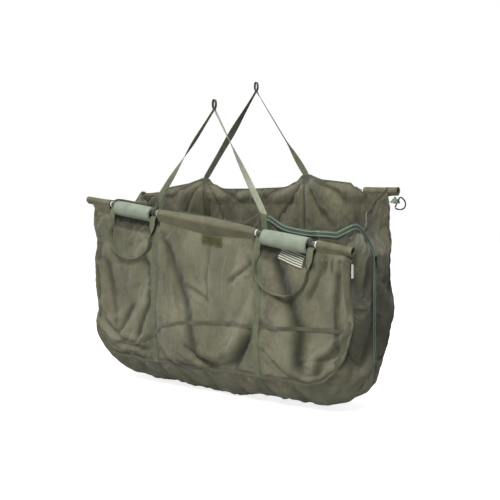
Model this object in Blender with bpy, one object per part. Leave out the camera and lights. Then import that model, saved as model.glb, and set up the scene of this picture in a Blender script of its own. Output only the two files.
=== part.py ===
"""A specimen weigh sling: a mesh bag on two alloy poles, hung from two webbing weigh straps.

Metres, +Z up. X runs along the poles, the front is -Y. The bag is laid out from its lowest point, and
an empty moves it so that the world origin is where the rear weigh strap's eye bears on its hook.
"""

import math

import bmesh
import bpy
import numpy as np
from mathutils import Vector

# Poles
POLE_LENGTH = 1.200
POLE_RADIUS = 0.010
POLE_WALL = 0.0012
POLE_SPACING = 0.320
FRONT_POLE_HEIGHT = 0.626
REAR_POLE_HEIGHT = 0.7295
FRONT_POLE_TILT = math.radians(7.5)
REAR_POLE_TILT = math.radians(-1.1)
PLUG_LENGTH = 0.018
PLUG_HEAD = 0.003
SEAT_GAP = 0.0003

# Places along each pole, from its middle outwards
CENTRE_SLEEVE_HALF = 0.2265
COLLAR_WIDTH = 0.005
COLLAR_WALL = 0.0022
PIECE_GAP = 0.001
GRIP_LENGTH = 0.185
SLEEVED_HALF = 0.610

# Webbing and grips
WEBBING_WIDTH = 0.025
WEBBING_THICKNESS = 0.0015
WRAP_THICKNESS = 0.0022
GRIP_RADIUS = 0.029
GRIP_WALL = 0.0095
GRIP_EDGE = 0.003
LOOP_DEPTH = 0.195
LOOP_BOW_DEPTH = 0.085
LOOP_TWIST_START = 0.045
LOOP_STAND_OFF = 0.0155

# Weigh straps
FRONT_APEX_X = 0.030
FRONT_APEX_HEIGHT = 1.035
REAR_APEX_X = 0.010
REAR_APEX_HEIGHT = 1.128
EYE_WIDTH = 0.0125
EYE_HALF_GAP = 0.007
EYE_HALF_HEIGHT = 0.017
STRAP_FOOT = 0.020
STRAP_TWIST_START = 0.090
STRAP_FOLD_GAP = 0.0003

# Sleeves
CLOTH = 0.0012
SLEEVE_WALL = 0.0015
SLEEVE_DROP = 0.040
END_SLEEVE_MOUTH = 0.0150
END_SLEEVE_TIP = 0.0120
END_SLEEVE_TIP_DROP = 0.016
END_SLEEVE_CUT_AWAY = 0.010

# Bag
BAG_HALF_LENGTH = 0.575
BASE_HALF_LENGTH = 0.405
SEAM_HEIGHT = 0.085
CORNER_RISE = 0.140
END_BULGE = 0.025
SIDE_BULGE = 0.022
BULGE_START_DEPTH = 0.215
END_LEAN = 0.055
LEAN_HEIGHT = 0.520
LEAN_RISE = 0.110
END_RISE_FRONT = 0.035
END_RISE_REAR = 0.040
END_SAG = 0.045
ZIP_PARTING = 0.004
FLAP_LAP = 0.010
FLAP_END_GAP = 0.009
GRIP_RECESS = 0.0315
RECESS_EDGE = 0.008
RECESS_EASE = 0.022
RECESS_FADE = 0.045
LAYER_GAP = 0.0005
SEAM_GAP = 0.0015

# Flap hems, above the pole
HEM_LOW = 0.022
HEM_PEAK = 0.068
HEM_PEAK_HALF_WIDTH = 0.045
FRONT_HEM_END = 0.038
REAR_HEM_END = 0.050

# End zips, their sliders and pulls
ZIP_TAPE_WIDTH = 0.030
ZIP_TAPE = 0.0012
ZIP_CHAIN_WIDTH = 0.006
ZIP_CHAIN = 0.0026
SLIDER_HEIGHT = 0.515
SLIDER_LENGTH = 0.014
SLIDER_WIDTH = 0.011
SLIDER_CROWN = 0.0024
BRIDGE_HALF_LENGTH = 0.005
BRIDGE_HEIGHT = 0.0040
BRIDGE_BAR = 0.0012
BRIDGE_WIDTH = 0.0018
PULL_LENGTH = 0.035
PULL_WIDTH = 0.008
PULL_THICKNESS = 0.0011
PULL_SLOT_LENGTH = 0.0075
PULL_SLOT_WIDTH = 0.0034

# D-ring and its tab
RING_BAR_LENGTH = 0.044
RING_DEPTH = 0.033
RING_WIRE = 0.002
TAB_WIDTH = 0.030
TAB_LENGTH = 0.022
TAB_TILT = math.radians(28)
TAB_DROP = 0.0296

# Labels
NAME_LABEL_MIDDLE = 0.033
NAME_LABEL_WIDTH = 0.094
NAME_LABEL_DEPTH = 0.038
CARE_LABEL_MIDDLE = 0.372
CARE_LABEL_WIDTH = 0.100
CARE_LABEL_ROWS = 3
SIDE_LABEL_WIDTH = 0.012
SIDE_LABEL_LENGTH = 0.046
SIDE_LABEL_TOP = 0.505
SIDE_LABEL_INSET = 0.006
LABEL_THICKNESS = 0.0006

# Facets
ROUND_FACETS = 20
WIRE_FACETS = 6
BOW_STEPS = 14
LOOP_TWIST_STEPS = 5
STRAP_TWIST_STEPS = 8
SMOOTH_ANGLE = math.radians(38)

# Worked out from the sizes above
FRONT, REAR = -1, 1
LEFT, RIGHT = -1, 1
POLE_HEIGHTS = {FRONT: FRONT_POLE_HEIGHT, REAR: REAR_POLE_HEIGHT}
POLE_TILTS = {FRONT: FRONT_POLE_TILT, REAR: REAR_POLE_TILT}
HALF_SPACING = POLE_SPACING / 2
RING_INNER = POLE_RADIUS + SEAT_GAP
RING_OUTER = RING_INNER + WRAP_THICKNESS
COLLAR_START = CENTRE_SLEEVE_HALF + PIECE_GAP
STRAP_MIDDLE = COLLAR_START + WEBBING_WIDTH / 2
INNER_RING_START = COLLAR_START + COLLAR_WIDTH + PIECE_GAP
GRIP_START = INNER_RING_START + WEBBING_WIDTH + PIECE_GAP
GRIP_END = GRIP_START + GRIP_LENGTH
OUTER_RING_START = GRIP_END + PIECE_GAP
OUTER_RING_END = OUTER_RING_START + WEBBING_WIDTH
OUTER_COLLAR_START = OUTER_RING_END + PIECE_GAP
END_SLEEVE_START = OUTER_COLLAR_START + COLLAR_WIDTH + PIECE_GAP
GRIP_BORE = GRIP_RADIUS - GRIP_WALL
GRIP_HANG = GRIP_BORE - POLE_RADIUS - SEAT_GAP
SLEEVE_RADIUS = RING_INNER + SLEEVE_WALL
LAP = CLOTH + LAYER_GAP
WEBBING_LIFT = CLOTH / 2 + LAYER_GAP + WEBBING_THICKNESS / 2
SLEEVE_INSET = END_SLEEVE_MOUTH + PIECE_GAP + CLOTH / 2
STRAP_INSET = SLEEVE_INSET - WEBBING_LIFT
FLAP_HALF_LENGTH = BAG_HALF_LENGTH - FLAP_END_GAP
HANG_HEIGHT = REAR_APEX_HEIGHT + 2 * EYE_HALF_HEIGHT - WEBBING_THICKNESS / 2
HANG_POINT = Vector((REAR_APEX_X, HALF_SPACING - STRAP_INSET, HANG_HEIGHT))


def eased(value, start, end):
    """0 before start, 1 after end, and a smooth rise between them."""
    share = min(max((value - start) / (end - start), 0), 1)
    return share * share * (3 - 2 * share)


def start_afresh():
    for old in list(bpy.data.objects):
        bpy.data.objects.remove(old)


def material(name, hex_colour, roughness, metallic=0.0):
    made = bpy.data.materials.new(name)
    made.use_nodes = True
    shader = made.node_tree.nodes["Principled BSDF"]
    channels = [int(hex_colour[i : i + 2], 16) / 255 for i in (0, 2, 4)]
    linear = [((c + 0.055) / 1.055) ** 2.4 if c > 0.04045 else c / 12.92 for c in channels]
    shader.inputs["Base Color"].default_value = (*linear, 1)
    shader.inputs["Roughness"].default_value = roughness
    shader.inputs["Metallic"].default_value = metallic
    return made


def empty(name, location, parent=None, tilt=0.0):
    made = bpy.data.objects.new(name, None)
    bpy.context.collection.objects.link(made)
    made.parent = parent
    made.location = location
    made.rotation_euler.y = tilt
    return made


def solid(name, points, faces, finish, parent, origin=(0, 0, 0)):
    """A closed mesh object, whose four-sided faces are split from their first corner to their third.

    Its points are in the bag's frame if origin says where its parent lies there.
    """
    mesh = bpy.data.meshes.new(name)
    shape = bmesh.new()
    shift = Vector(origin)
    corners = [shape.verts.new(Vector(p) - shift) for p in points]
    for face in faces:
        pieces = [face[:3], (face[0], *face[2:])] if len(face) == 4 else [face]
        for piece in pieces:
            shape.faces.new([corners[i] for i in piece])
    bmesh.ops.recalc_face_normals(shape, faces=shape.faces)
    shape.to_mesh(mesh)
    shape.free()
    mesh.shade_smooth()
    mesh.set_sharp_from_angle(angle=SMOOTH_ANGLE)
    mesh.materials.append(finish)
    made = bpy.data.objects.new(name, mesh)
    bpy.context.collection.objects.link(made)
    made.parent = parent
    return made


def combine(target, others, operation):
    """Joins others to target, or cuts them from it. They stay as hidden guides."""
    for other in others:
        other.hide_render = True
        other.display_type = "WIRE"
        modifier = target.modifiers.new(other.name, "BOOLEAN")
        modifier.operation = operation
        modifier.object = other
        modifier.solver = "EXACT"
    return target


def ring_faces(count, around, closed):
    """Faces between count rings of around points, as a closed loop of rings or with a cap at each end.

    The two halves of a ring start their faces at opposite corners, so both sides of a strap split alike.
    """
    faces = []
    for i in range(count if closed else count - 1):
        here, there = i * around, ((i + 1) % count) * around
        for k in range(around):
            after = (k + 1) % around
            face = (here + k, here + after, there + after, there + k)
            faces.append(face if k < around / 2 else (*face[1:], face[0]))
    if not closed:
        faces.append(tuple(range(around)))
        faces.append(tuple(range((count - 1) * around, count * around)))
    return faces


def turned(name, profile, finish, parent, hollow=True, drop=0.0):
    """A piece turned about its parent's X axis from (along, radius) points, a closed loop if hollow."""
    points = []
    for along, radius in profile:
        for k in range(ROUND_FACETS):
            turn = 2 * math.pi * k / ROUND_FACETS
            points.append((along, radius * math.sin(turn), radius * math.cos(turn) - drop))
    return solid(name, points, ring_faces(len(profile), ROUND_FACETS, hollow), finish, parent)


def tube_profile(start, end, inner, outer):
    return [(start, inner), (start, outer), (end, outer), (end, inner)]


def swept(name, stations, section, finish, parent, closed=False, origin=(0, 0, 0)):
    """A section of (across, through) points carried along stations of place, across, through and share."""
    points = []
    for place, across, through, share in stations:
        for a, b in section:
            points.append(Vector(place) + Vector(across) * a * share + Vector(through) * b)
    return solid(name, points, ring_faces(len(stations), len(section), closed), finish, parent, origin)


def flat_section(width, thickness):
    return [
        (-width / 2, -thickness / 2),
        (width / 2, -thickness / 2),
        (width / 2, thickness / 2),
        (-width / 2, thickness / 2),
    ]


def sheet(name, middle, offsets, finish, parent, origin):
    """A closed sheet from a grid of middle points and the half-thickness vector at each."""
    middle, offsets = np.array(middle), np.array(offsets)
    rows, columns = middle.shape[:2]
    points = [*(middle + offsets).reshape(-1, 3), *(middle - offsets).reshape(-1, 3)]
    below = rows * columns
    faces = []
    for r in range(rows - 1):
        for c in range(columns - 1):
            a = r * columns + c
            beyond = a + columns
            faces.append((a, a + 1, beyond + 1, beyond))
            faces.append((below + a, below + beyond, below + beyond + 1, below + a + 1))
    rim = list(range(columns))
    rim += [r * columns + columns - 1 for r in range(1, rows)]
    rim += [(rows - 1) * columns + c for c in range(columns - 2, -1, -1)]
    rim += [r * columns for r in range(rows - 2, 0, -1)]
    for i, a in enumerate(rim):
        b = rim[(i + 1) % len(rim)]
        faces.append((b, a, below + a, below + b))
    return solid(name, points, faces, finish, parent, origin)


def grid_normals(grid):
    """The unit normal at each point of a grid of points."""
    grid = np.array(grid)
    along = np.gradient(grid, axis=0)
    across = np.gradient(grid, axis=1)
    normals = np.cross(along, across)
    return normals / np.linalg.norm(normals, axis=2, keepdims=True)


def pole_height(side, x):
    """Height of a pole's axis above the bag's lowest point."""
    return POLE_HEIGHTS[side] - math.tan(POLE_TILTS[side]) * x


def pole_slant(side):
    """Vertical measure, at a tilted pole, of a unit square to it."""
    return 1 / math.cos(POLE_TILTS[side])


def grip_share(x):
    """1 along a pole's bare stretch, where the cloth passes well behind it, and 0 behind a sleeve."""
    reach = abs(x)
    rise = eased(reach, COLLAR_START - RECESS_EDGE, COLLAR_START)
    fall = eased(reach, OUTER_RING_END - RECESS_EASE, OUTER_RING_END)
    return rise * (1 - fall)


def wall_inset(x, depth):
    """How far the side wall stands inwards of its pole's plane, at a depth below the pole."""
    fade = eased(depth, SLEEVE_DROP, SLEEVE_DROP + RECESS_FADE)
    return grip_share(x) * GRIP_RECESS * (1 - fade)


def seam_height(x):
    """Height of the seam between a side panel and the gusset."""
    beyond = min(max(abs(x) - BASE_HALF_LENGTH, 0) / (BAG_HALF_LENGTH - BASE_HALF_LENGTH), 1)
    return SEAM_HEIGHT + CORNER_RISE * (1 - math.sqrt(1 - beyond * beyond))


def wall_bulge(x, height, depth):
    """How far the loaded wall bows outwards."""
    along = 1 - (x / BAG_HALF_LENGTH) ** 2
    below = eased(depth, LOOP_DEPTH, LOOP_DEPTH + BULGE_START_DEPTH)
    above = eased(height, SEAM_HEIGHT, SEAM_HEIGHT + CORNER_RISE)
    return SIDE_BULGE * along * below * above


def wall_x(side, along):
    """Where the wall's column under a place along the tilted pole hangs."""
    tilt = POLE_TILTS[side]
    square = along * math.cos(tilt) - SLEEVE_DROP * math.sin(tilt)
    return square + (along - square) * eased(abs(along), OUTER_RING_END, FLAP_HALF_LENGTH)


def wall_point(side, along, height, outwards=0.0):
    x = wall_x(side, along)
    depth = pole_height(side, x) - height
    reach = HALF_SPACING - wall_inset(along, depth) + wall_bulge(x, height, depth) + outwards
    return (x, side * reach, height)


def panel_top(side, along):
    return pole_height(side, wall_x(side, along)) - (SLEEVE_DROP + SEAT_GAP) * pole_slant(side)


def by_pole(side, along, depth, inset):
    """A point behind the tilted pole, square to it, or plumb below the edge of its sleeve."""
    tilt = POLE_TILTS[side]
    foot = wall_x(side, along)
    rise = max(SLEEVE_DROP - depth, 0)
    height = pole_height(side, foot) - max(depth, SLEEVE_DROP) * pole_slant(side)
    upright = eased(abs(along), OUTER_RING_END, FLAP_HALF_LENGTH)
    x = foot + rise * math.sin(tilt) * (1 - upright)
    return (x, side * (HALF_SPACING - inset), height + rise * math.cos(tilt))


CENTRE_COLUMN_SHARES = (0, 0.35, 0.7)
GRIP_COLUMN_SHARES = (0.15, 0.45, 0.75)
END_COLUMN_SHARES = (0.4, 0.75, 0.93, 1)


def shared_columns(half_length):
    """Stations along the bag that every layer of a side wall uses, so that the layers lie parallel."""
    near = [CENTRE_SLEEVE_HALF * share for share in CENTRE_COLUMN_SHARES]
    near += [COLLAR_START - RECESS_EDGE, COLLAR_START, STRAP_MIDDLE, COLLAR_START + WEBBING_WIDTH]
    near += [GRIP_START + GRIP_LENGTH * share for share in GRIP_COLUMN_SHARES]
    near += [OUTER_RING_END - RECESS_EASE, OUTER_RING_END - RECESS_EASE / 2, OUTER_RING_END]
    near += [OUTER_RING_END + (half_length - OUTER_RING_END) * share for share in END_COLUMN_SHARES]
    return [-x for x in reversed(near[1:])] + near


WALL_ROW_SHARES = (0, 0.08, 0.18, 0.28, 0.4, 0.5, 0.58, 0.66, 0.74, 0.84, 0.91, 0.95, 1)


def wall_heights(side, along):
    bottom = seam_height(abs(wall_x(side, along)) + SEAM_GAP) + SEAM_GAP
    return [bottom + (panel_top(side, along) - bottom) * share for share in WALL_ROW_SHARES]


def side_panel(name, side, finish, parent, origin):
    """One long wall of mesh, from the gusset seam up to the sleeves."""
    grid, offsets = [], []
    for x in shared_columns(BAG_HALF_LENGTH - CLOTH / 2):
        grid.append([wall_point(side, x, height) for height in wall_heights(side, x)])
        offsets.append([(0, CLOTH / 2, 0)] * len(WALL_ROW_SHARES))
    return sheet(name, grid, offsets, finish, parent, origin)


def flap_inset(along, depth):
    """How far the inner flap stands inwards of its pole's plane."""
    share = grip_share(along)
    rise = min(max(SLEEVE_DROP - depth, 0) / (SLEEVE_DROP - RING_OUTER), 1)
    by_sleeve = LAP + (SLEEVE_INSET - LAP) * rise
    by_grip = GRIP_RECESS + LAP
    gathered = hem_peak_share(along) * eased(-depth, 0, HEM_PEAK)
    return (by_sleeve * (1 - share) + by_grip * share) * (1 - gathered) + SLEEVE_INSET * gathered


def hem_peak_share(x):
    """1 where a weigh strap holds the flap's hem up, and 0 well away from it."""
    away = max(abs(abs(x) - STRAP_MIDDLE) - WEBBING_WIDTH / 2, 0) / HEM_PEAK_HALF_WIDTH
    return math.exp(-away * away)


def hem_rise(side, x):
    """Height of the flap's hem above its pole."""
    end = FRONT_HEM_END if side == FRONT else REAR_HEM_END
    ordinary = HEM_LOW + (end - HEM_LOW) * eased(abs(x), STRAP_MIDDLE, GRIP_START)
    return ordinary + (HEM_PEAK - ordinary) * hem_peak_share(x)


FLAP_LOWER_DEPTHS = (SLEEVE_DROP + FLAP_LAP, SLEEVE_DROP, RING_OUTER, 0)
FLAP_UPPER_SHARES = (0.35, 0.7, 1)


def flap_depths(side, along):
    """Depths below the pole of the flap's rows, from its lower edge up to its hem."""
    return [*FLAP_LOWER_DEPTHS, *(-hem_rise(side, along) * share for share in FLAP_UPPER_SHARES)]


def flap(name, side, finish, parent, origin):
    """The band of cloth behind a pole, from below the sleeves up to the hem at the bag's mouth."""
    grid, offsets = [], []
    for along in shared_columns(FLAP_HALF_LENGTH):
        depths = flap_depths(side, along)
        grid.append([by_pole(side, along, depth, flap_inset(along, depth)) for depth in depths])
        offsets.append([(0, CLOTH / 2, 0)] * len(depths))
    return sheet(name, grid, offsets, finish, parent, origin)


def laid_on_wall(name, side, columns, height_rows, thickness, finish, parent, origin):
    """A strip or label that lies against a side wall's outer face."""
    outwards = CLOTH / 2 + LAYER_GAP + thickness / 2
    grid = [[wall_point(side, x, z, outwards) for z in height_rows(x)] for x in columns]
    offsets = [[(0, thickness / 2, 0)] * len(column) for column in grid]
    return sheet(name, grid, offsets, finish, parent, origin)


def girth_strap(name, side, end, finish, parent, origin):
    """Webbing sewn to a side, from the hem's peak down behind the pole and over the wall to the base."""
    grid = []
    for across in (-WEBBING_WIDTH / 2, 0, WEBBING_WIDTH / 2):
        along = end * STRAP_MIDDLE + across
        column = [wall_point(side, along, z, WEBBING_LIFT) for z in wall_heights(side, along)]
        for depth in flap_depths(side, along):
            if depth < SLEEVE_DROP:
                column.append(by_pole(side, along, depth, flap_inset(along, depth) - WEBBING_LIFT))
        grid.append(column)
    offsets = [[(0, WEBBING_THICKNESS / 2, 0)] * len(column) for column in grid]
    return sheet(name, grid, offsets, finish, parent, origin)


def base_height(share):
    """Height of the sagging base at a share of the way from its middle to the seam."""
    return SEAM_HEIGHT * share * share


def bow_share(share):
    """1 across an end wall's zip tape, and 0 at its side seams."""
    beyond = max(abs(share) - TAPE_SHARE, 0) / (1 - TAPE_SHARE)
    return 1 - beyond * beyond


def end_reach(share):
    """Distance of an end wall from the middle of the bag, bowed out at the zip."""
    return BAG_HALF_LENGTH + END_BULGE * bow_share(share)


TAPE_SHARE = (ZIP_TAPE_WIDTH / 2 + PIECE_GAP) / HALF_SPACING
GUSSET_HALF_SHARES = (ZIP_PARTING / HALF_SPACING, TAPE_SHARE, 0.3, 0.55, 0.75, 0.9, 0.995)
GUSSET_SHARES = (*(-share for share in reversed(GUSSET_HALF_SHARES)), *GUSSET_HALF_SHARES)


def gusset_sheet(name, grid, thickness, finish, parent):
    offsets = grid_normals(grid) * thickness / 2
    return sheet(name, grid, offsets, finish, parent, (0, 0, 0))


def base_panel(name, finish, parent):
    girth = [STRAP_MIDDLE - WEBBING_WIDTH / 2, STRAP_MIDDLE + WEBBING_WIDTH / 2]
    reach = [*girth, BASE_HALF_LENGTH]
    columns = [-x for x in reversed(reach)] + reach
    grid = [[(x, HALF_SPACING * s, base_height(s)) for s in GUSSET_SHARES] for x in columns]
    return gusset_sheet(name, grid, CLOTH, finish, parent)


def base_girth_strap(name, end, finish, parent):
    """Webbing that passes under the base between the two walls' straps."""
    columns = [end * (STRAP_MIDDLE + half) for half in (-WEBBING_WIDTH / 2, WEBBING_WIDTH / 2)]
    middle = np.array([[(x, HALF_SPACING * s, base_height(s)) for s in GUSSET_SHARES] for x in columns])
    normals = grid_normals(middle)
    normals *= -np.sign(normals[..., 2:3])
    return gusset_sheet(name, middle + normals * WEBBING_LIFT, WEBBING_THICKNESS, finish, parent)


CORNER_STEPS = 7


def base_corner(name, end, finish, parent):
    """The rounded lower corner of the gusset at one end of the bag."""
    grid = []
    for step in range(CORNER_STEPS + 1):
        turn = math.pi / 2 * step / CORNER_STEPS
        row = []
        for share in GUSSET_SHARES:
            start = BASE_HALF_LENGTH + SEAT_GAP
            x = start + (end_reach(share) - start) * math.sin(turn)
            z = base_height(share) + CORNER_RISE * (1 - math.cos(turn))
            row.append((end * x, HALF_SPACING * share, z))
        grid.append(row)
    return gusset_sheet(name, grid, CLOTH, finish, parent)


def end_top(end, share):
    """Height of an end wall's top edge."""
    x = end * BAG_HALF_LENGTH
    front = pole_height(FRONT, x) + END_RISE_FRONT
    rear = pole_height(REAR, x) + END_RISE_REAR
    along = (share + 1) / 2
    return front + (rear - front) * along - END_SAG * (1 - share * share)


def end_wall_x(share, height):
    lean = END_LEAN * eased(height, LEAN_HEIGHT, LEAN_HEIGHT + LEAN_RISE)
    return end_reach(share) - lean * bow_share(share)


END_ROW_SHARES = (0, 0.15, 0.3, 0.5, 0.65, 0.75, 0.82, 0.88, 0.94, 1)


def end_half_span(end, side, height):
    """Distance from the zip to an end wall's edge, which stands inwards beside a sleeve."""
    depth = (pole_height(side, end * BAG_HALF_LENGTH) - height) / pole_slant(side)
    return HALF_SPACING - SLEEVE_INSET * eased(-depth, -SLEEVE_DROP - FLAP_LAP, -RING_OUTER)


def end_heights(end, share):
    """Heights of an end wall's rows, from the base corner up to its top edge, level across the zip."""
    bottom = base_height(share) + CORNER_RISE + LAYER_GAP
    if abs(share) <= TAPE_SHARE:
        share = 0
    lowest = base_height(share) + CORNER_RISE + LAYER_GAP
    return [bottom, *(lowest + (end_top(end, share) - lowest) * row for row in END_ROW_SHARES[1:])]


def end_half(name, end, side, finish, parent):
    """Half of an end wall, from the zip to the side wall's seam."""
    grid = []
    for share in GUSSET_HALF_SHARES:
        share *= side
        column = []
        for z in end_heights(end, share):
            column.append((end * end_wall_x(share, z), end_half_span(end, side, z) * share, z))
        grid.append(column)
    return gusset_sheet(name, grid, CLOTH, finish, parent)


def zip_face(height):
    """Distance from the middle of the bag to the outer face of an end zip's tape."""
    return end_wall_x(0, height) + CLOTH / 2 + LAYER_GAP + ZIP_TAPE


def end_zip(name, end, finish, parent):
    """Zip tape with its raised chain, sewn over the parting of an end wall."""
    half, chain = ZIP_TAPE_WIDTH / 2, ZIP_CHAIN_WIDTH / 2
    section = [(-half, -ZIP_TAPE), (half, -ZIP_TAPE), (half, 0), (chain, 0)]
    section += [(chain, ZIP_CHAIN - ZIP_TAPE), (-chain, ZIP_CHAIN - ZIP_TAPE), (-chain, 0), (-half, 0)]
    stations = []
    for height in end_heights(end, GUSSET_HALF_SHARES[0]):
        stations.append(((end * zip_face(height), 0, height), (0, 1, 0), (end, 0, 0), 1))
    return swept(name, stations, section, finish, parent)


def slider(name, end, finish, parent):
    """A zip slider's face plate with a groove over the chain, and the bridge that holds its pull."""
    foot, chain = LAYER_GAP, ZIP_CHAIN - ZIP_TAPE + LAYER_GAP
    crown = chain + SLIDER_CROWN
    groove, half = ZIP_CHAIN_WIDTH / 2 + LAYER_GAP, SLIDER_WIDTH / 2
    section = [(-half, foot), (-groove, foot), (-groove, chain), (groove, chain)]
    section += [(groove, foot), (half, foot), (half, crown), (-half, crown)]
    across, out = (0, 1, 0), (end, 0, 0)
    stations = [((0, 0, z), across, out, 1) for z in (-SLIDER_LENGTH / 2, SLIDER_LENGTH / 2)]
    body = swept(name, stations, section, finish, parent)
    overlap = SLIDER_CROWN / 2
    tall = BRIDGE_HEIGHT + overlap
    outer = [(-BRIDGE_HALF_LENGTH, 0), (-BRIDGE_HALF_LENGTH, tall), (BRIDGE_HALF_LENGTH, tall)]
    outer += [(BRIDGE_HALF_LENGTH, 0)]
    inset = BRIDGE_HALF_LENGTH - BRIDGE_BAR
    outer += [(inset, 0), (inset, tall - BRIDGE_BAR), (-inset, tall - BRIDGE_BAR), (-inset, 0)]
    base = end * (crown - overlap)
    stations = [((base, y, 0), (0, 0, 1), out, 1) for y in (-BRIDGE_WIDTH / 2, BRIDGE_WIDTH / 2)]
    bridge = swept(name + "_bridge", stations, outer, finish, parent)
    return combine(body, [bridge], "UNION")


def slider_face():
    """Distance from the zip tape's face to the slider's outer face."""
    return ZIP_CHAIN - ZIP_TAPE + LAYER_GAP + SLIDER_CROWN


def zip_pull(name, end, finish, parent):
    """A flat pull whose slotted top end hangs on the slider's bridge."""
    half, slot = PULL_WIDTH / 2, PULL_SLOT_WIDTH / 2
    top = BRIDGE_BAR / 2
    taper = PULL_WIDTH / 4
    outline = [(-half + taper, top), (half - taper, top), (half, top - taper)]
    outline += [(half, taper - PULL_LENGTH), (half - taper, -PULL_LENGTH)]
    outline += [(taper - half, -PULL_LENGTH), (-half, taper - PULL_LENGTH), (-half, top - taper)]
    across, up = (0, 1, 0), (0, 0, 1)
    plate_stations = [((x, 0, 0), across, up, 1) for x in (-PULL_THICKNESS / 2, PULL_THICKNESS / 2)]
    plate = swept(name, plate_stations, outline, finish, parent)
    cut_outline = [(-slot, -top), (slot, -top), (slot, -PULL_SLOT_LENGTH), (-slot, -PULL_SLOT_LENGTH)]
    cut_stations = [((x, 0, 0), across, up, 1) for x in (-PULL_THICKNESS, PULL_THICKNESS)]
    cutter = swept(name + "_slot", cut_stations, cut_outline, finish, parent)
    return combine(plate, [cutter], "DIFFERENCE")


SLEEVE_FALL_SHARES = (0.12, 0.3, 0.6, 1)


def sleeve(name, stations, finish, parent):
    """A sewn sleeve, round over the pole and drawn down to a flat edge, from (along, radius, drop)s."""
    edge = CLOTH / 2
    rings = []
    for _, radius, drop in stations:
        tangent = math.acos(min(radius / drop, 1))
        turns = [tangent + (2 * math.pi - 2 * tangent) * k / ROUND_FACETS for k in range(ROUND_FACETS + 1)]
        outer = [(radius * math.sin(t), -radius * math.cos(t)) for t in turns]
        y, z = outer[-1]
        fall = [(y + (-edge - y) * s, z + (-drop - z) * s) for s in SLEEVE_FALL_SHARES]
        rings.append(outer + fall + [(-y, z) for y, z in reversed(fall)])
    bearings = np.mean([[math.atan2(y, -z) % (2 * math.pi) for y, z in ring] for ring in rings], axis=0)
    bore = [(RING_INNER * math.sin(t), -RING_INNER * math.cos(t)) for t in bearings]
    points, faces = [], []
    for (along, _, _), ring in zip(stations, rings):
        points += [(along, y, z) for y, z in [*ring, *bore]]
    around = ROUND_FACETS + 1 + 2 * len(SLEEVE_FALL_SHARES)
    for i in range(len(stations) - 1):
        for ring in (0, 1):
            here = (2 * i + ring) * around
            there = here + 2 * around
            for k in range(around):
                after = (k + 1) % around
                faces.append((here + k, here + after, there + after, there + k))
    for first in (0, 2 * (len(stations) - 1) * around):
        for k in range(around):
            after = (k + 1) % around
            faces.append((first + k, first + after, first + around + after, first + around + k))
    return solid(name, points, faces, finish, parent)


def webbing_ring(name, start, finish, parent):
    profile = tube_profile(start, start + WEBBING_WIDTH, RING_INNER, RING_OUTER)
    return turned(name, profile, finish, parent)


def carry_loop(name, side, end, finish, parent):
    """Webbing round the pole at both ends of a grip, hanging outside it in a loop that turns edge-on."""
    near = INNER_RING_START + WEBBING_WIDTH / 2
    far = OUTER_RING_START + WEBBING_WIDTH / 2
    middle, half = (near + far) / 2, (far - near) / 2
    root = (RING_INNER + RING_OUTER) / 2
    bow_top = LOOP_DEPTH - LOOP_BOW_DEPTH
    leg = [(0, 0, 0), (LOOP_TWIST_START, 0, 0)]
    for k in range(1, LOOP_TWIST_STEPS + 1):
        share = k / LOOP_TWIST_STEPS
        depth = LOOP_TWIST_START + (bow_top - LOOP_TWIST_START) * share
        leg.append((depth, math.pi / 2 * share, share))
    stations = []
    for depth, turn, share in leg:
        off = side * (root + (LOOP_STAND_OFF - root) * share)
        across = (math.cos(turn), math.sin(turn), 0)
        through = (-math.sin(turn), math.cos(turn), 0)
        stations.append(((-half, off, -depth), across, through, 1))
    for k in range(1, BOW_STEPS):
        turn = math.pi * k / BOW_STEPS
        place = (-half * math.cos(turn), side * LOOP_STAND_OFF, -bow_top - LOOP_BOW_DEPTH * math.sin(turn))
        heading = Vector((half * math.sin(turn), 0, -LOOP_BOW_DEPTH * math.cos(turn))).normalized()
        stations.append((place, (0, 1, 0), Vector((0, 1, 0)).cross(heading), 1))
    for depth, turn, share in reversed(leg):
        off = side * (root + (LOOP_STAND_OFF - root) * share)
        across = (-math.cos(turn), math.sin(turn), 0)
        through = (math.sin(turn), math.cos(turn), 0)
        stations.append(((half, off, -depth), across, through, 1))
    placed = [((end * middle + p[0], p[1], p[2]), a, t, s) for p, a, t, s in stations]
    section = flat_section(WEBBING_WIDTH, WEBBING_THICKNESS)
    starts = sorted(end * x for x in (near, far))
    rings = [
        webbing_ring(name + f"_ring_{i}", start - WEBBING_WIDTH / 2, finish, parent)
        for i, start in enumerate(starts)
    ]
    loop = swept(name, placed, section, finish, parent)
    return combine(loop, rings, "UNION")


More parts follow.
